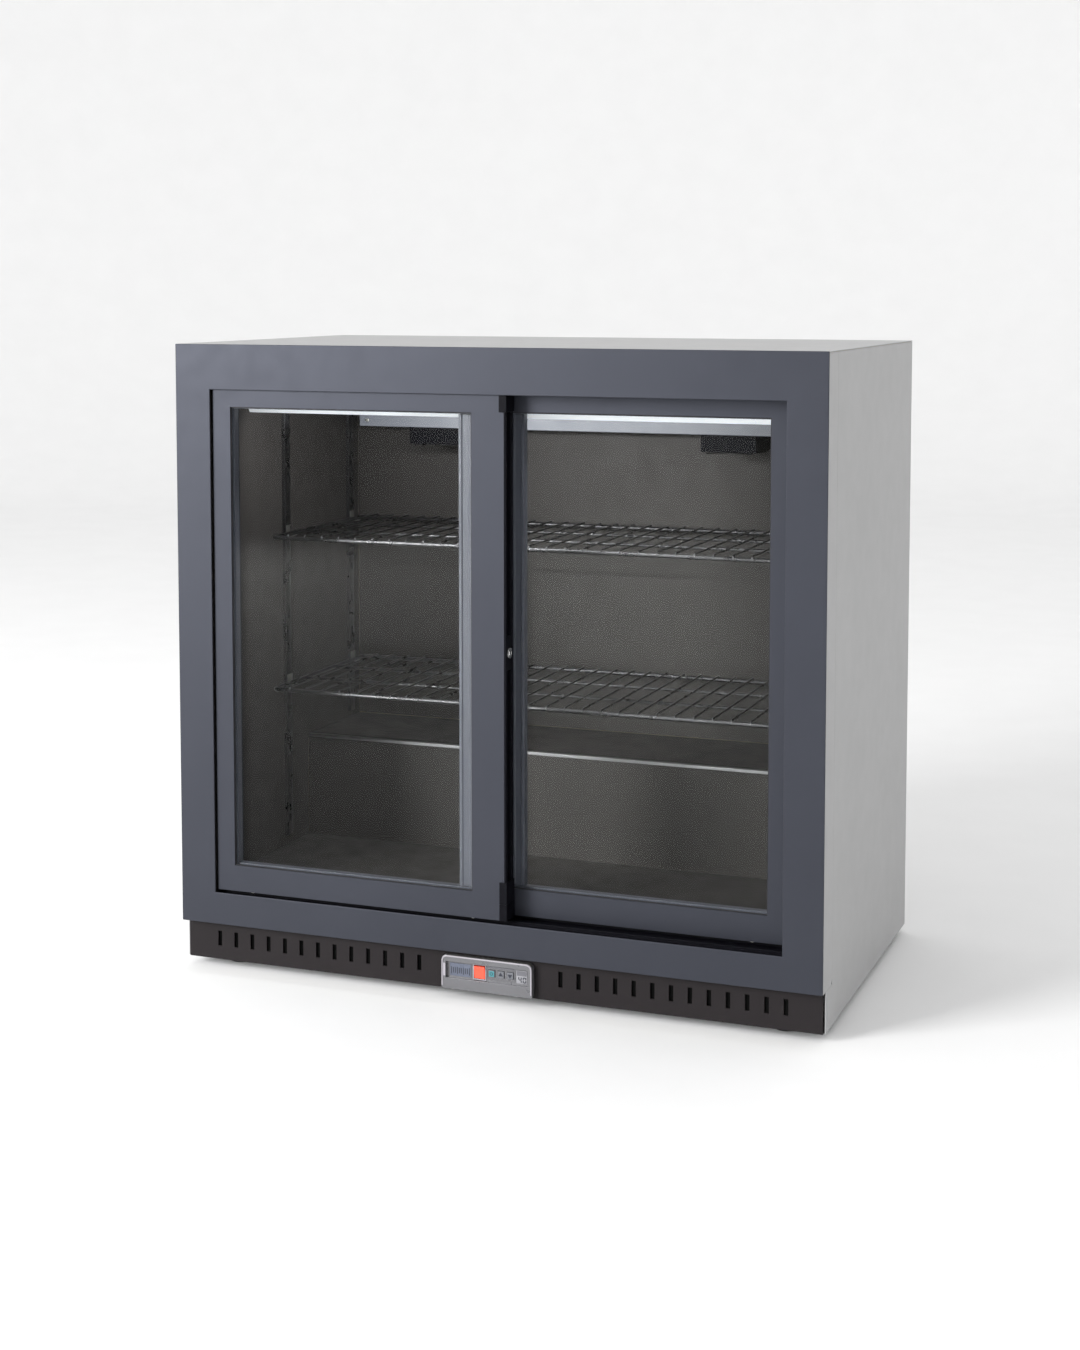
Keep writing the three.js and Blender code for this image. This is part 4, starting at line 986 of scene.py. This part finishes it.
def build_drip_tray():
    """The condensate tray on the base pan, between the fan and the compressor."""
    pan_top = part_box("base_pan")[1].z + HAIR
    coil_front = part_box("condenser_coil")[0].y
    low = (-170 * MM, coil_front + 36 * MM, pan_top)
    high = (110 * MM, coil_front + 150 * MM, pan_top + 30 * MM)
    bm = bmesh.new()
    add_tray(bm, low, high, 2 * MM)
    piece("drip_tray", bm, finish["black_plastic"], "cabinet", slot="black_plastic", edge=0.6 * MM)


def build_inlet_pins():
    """Three flat pins that stand on the floor of the inlet's socket."""
    low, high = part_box("power_inlet")
    x, z = (low.x + high.x) / 2, (low.z + high.z) / 2
    floor = high.y - 19 * MM
    across, earth_rise, drop = 7 * MM, 3.2 * MM, -2.4 * MM
    half_wide, half_tall, length = 1 * MM, 2 * MM, 15 * MM
    bm = bmesh.new()
    for dx, dz in ((0, earth_rise), (-across, drop), (across, drop)):
        add_block(bm, (x + dx - half_wide, floor, z + dz - half_tall),
                  (x + dx + half_wide, floor + length, z + dz + half_tall))
    piece("power_inlet_pins", bm, zinc_screw, "cabinet", edge=0.4 * MM)


def spaced(first, last, count):
    """Evenly spaced places from the first to the last."""
    return [first + (last - first) * i / (count - 1) for i in range(count)]


def build_rear_screws():
    low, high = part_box("back_panel")
    edge = 8 * MM
    xs = spaced(low.x + edge, high.x - edge, 5)
    zs = spaced(low.z + edge, high.z - edge, 5)
    places = [(x, high.y, z) for x in xs for z in (zs[0], zs[-1])]
    places += [(x, high.y, z) for x in (xs[0], xs[-1]) for z in zs[1:-1]]
    screws("back_panel_screws", places, Y_AXIS, "cabinet")
    low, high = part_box("rear_grille")
    zs = spaced(low.z + edge, high.z - edge, 3)
    places = [(x, high.y, z) for x in (xs[0], xs[-1]) for z in zs]
    screws("rear_grille_screws", places, Y_AXIS, "cabinet")


for node in ("foot_front_left", "foot_front_right", "foot_rear_left", "foot_rear_right"):
    build_foot(node)
build_compressor()
build_pipes()
build_drip_tray()
build_inlet_pins()
build_rear_screws()


# ---- Everything that still shows as the CAD made it ----

for name, node in nodes.items():
    if not node.hide_render:
        refine(name, 0.3 * MM)


# ---- Lights, floor and camera ----

def soft_light(name, place, target, width, height, power):
    """A white rectangular lamp that looks at its target and isn't seen itself."""
    data = bpy.data.lights.new(name, "AREA")
    data.shape = "RECTANGLE"
    data.size, data.size_y = width, height
    data.energy = power
    lamp = bpy.data.objects.new(name, data)
    lamp.location = place
    lamp.rotation_mode = "QUATERNION"
    lamp.rotation_quaternion = (Vector(target) - Vector(place)).to_track_quat("-Z", "Y")
    lamp.visible_camera = False
    bpy.context.scene.collection.objects.link(lamp)


def build_studio():
    """A pale floor that curves up into a wall all round, far enough out for every view."""
    reach, bend, height, steps, bend_steps = 6.0, 2.5, 7.0, 96, 12
    profile = [(0.01, 0.0), (reach, 0.0)]
    for i in range(1, bend_steps + 1):
        a = math.pi / 2 * i / bend_steps
        profile.append((reach + bend * math.sin(a), bend * (1 - math.cos(a))))
    profile.append((reach + bend, height))
    turns = [2 * math.pi * i / steps for i in range(steps)]
    bm = bmesh.new()
    rings = [[bm.verts.new((r * math.cos(t), r * math.sin(t), z)) for t in turns] for r, z in profile]
    bm.faces.new(rings[0])
    for one, other in zip(rings, rings[1:]):
        join_loops(bm, one, other)
    mesh = bpy.data.meshes.new("studio_floor")
    bm.to_mesh(mesh)
    bm.free()
    mesh.shade_smooth()
    mesh.materials.append(surface("studio_white", (0.84, 0.84, 0.84), 0.01, (0.8, 0.9), 40, 0.00001))
    cove = bpy.data.objects.new("studio_floor", mesh)
    bpy.context.scene.collection.objects.link(cove)


def build_world(strength):
    world = bpy.data.worlds.new("studio_air")
    bpy.context.scene.world = world
    world.use_nodes = True
    air = world.node_tree.nodes["Background"]
    air.inputs["Color"].default_value = (1, 1, 1, 1)
    air.inputs["Strength"].default_value = strength


def build_camera():
    """Right of the cooler and just above its top, fitted to the corners of the order's picture."""
    data = bpy.data.cameras.new("camera")
    data.lens = 57.38
    data.sensor_width = 36.0
    data.shift_y = -0.1667
    data.clip_end = 60.0
    camera = bpy.data.objects.new("camera", data)
    camera.location = (1.0449, -2.8016, 0.9436)
    yaw, pitch = math.radians(20.82), math.radians(-4.472)
    camera.rotation_euler = (math.pi / 2 + pitch, 0, yaw)
    bpy.context.scene.collection.objects.link(camera)
    bpy.context.scene.camera = camera


def build_cabinet_lamp():
    """The light that the ceiling lamp throws back and down, stronger on the left."""
    low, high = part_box("lamp_lens")
    width = high.x - low.x
    place = (low.x + 0.4 * width, (low.y + high.y) / 2, low.z - 2 * MM)
    target = (place[0], place[1] + 0.5, place[2] - 0.35)
    soft_light("cabinet_lamp", place, target, width=0.7 * width, height=12 * MM, power=2.8)


build_studio()
build_world(1.0)
build_camera()
soft_light("left_softbox", (-2.9, -4.0, 1.95), (0, 0, 0.5), width=2.0, height=2.3, power=340)
build_cabinet_lamp()

bpy.context.scene.view_settings.view_transform = "Standard"
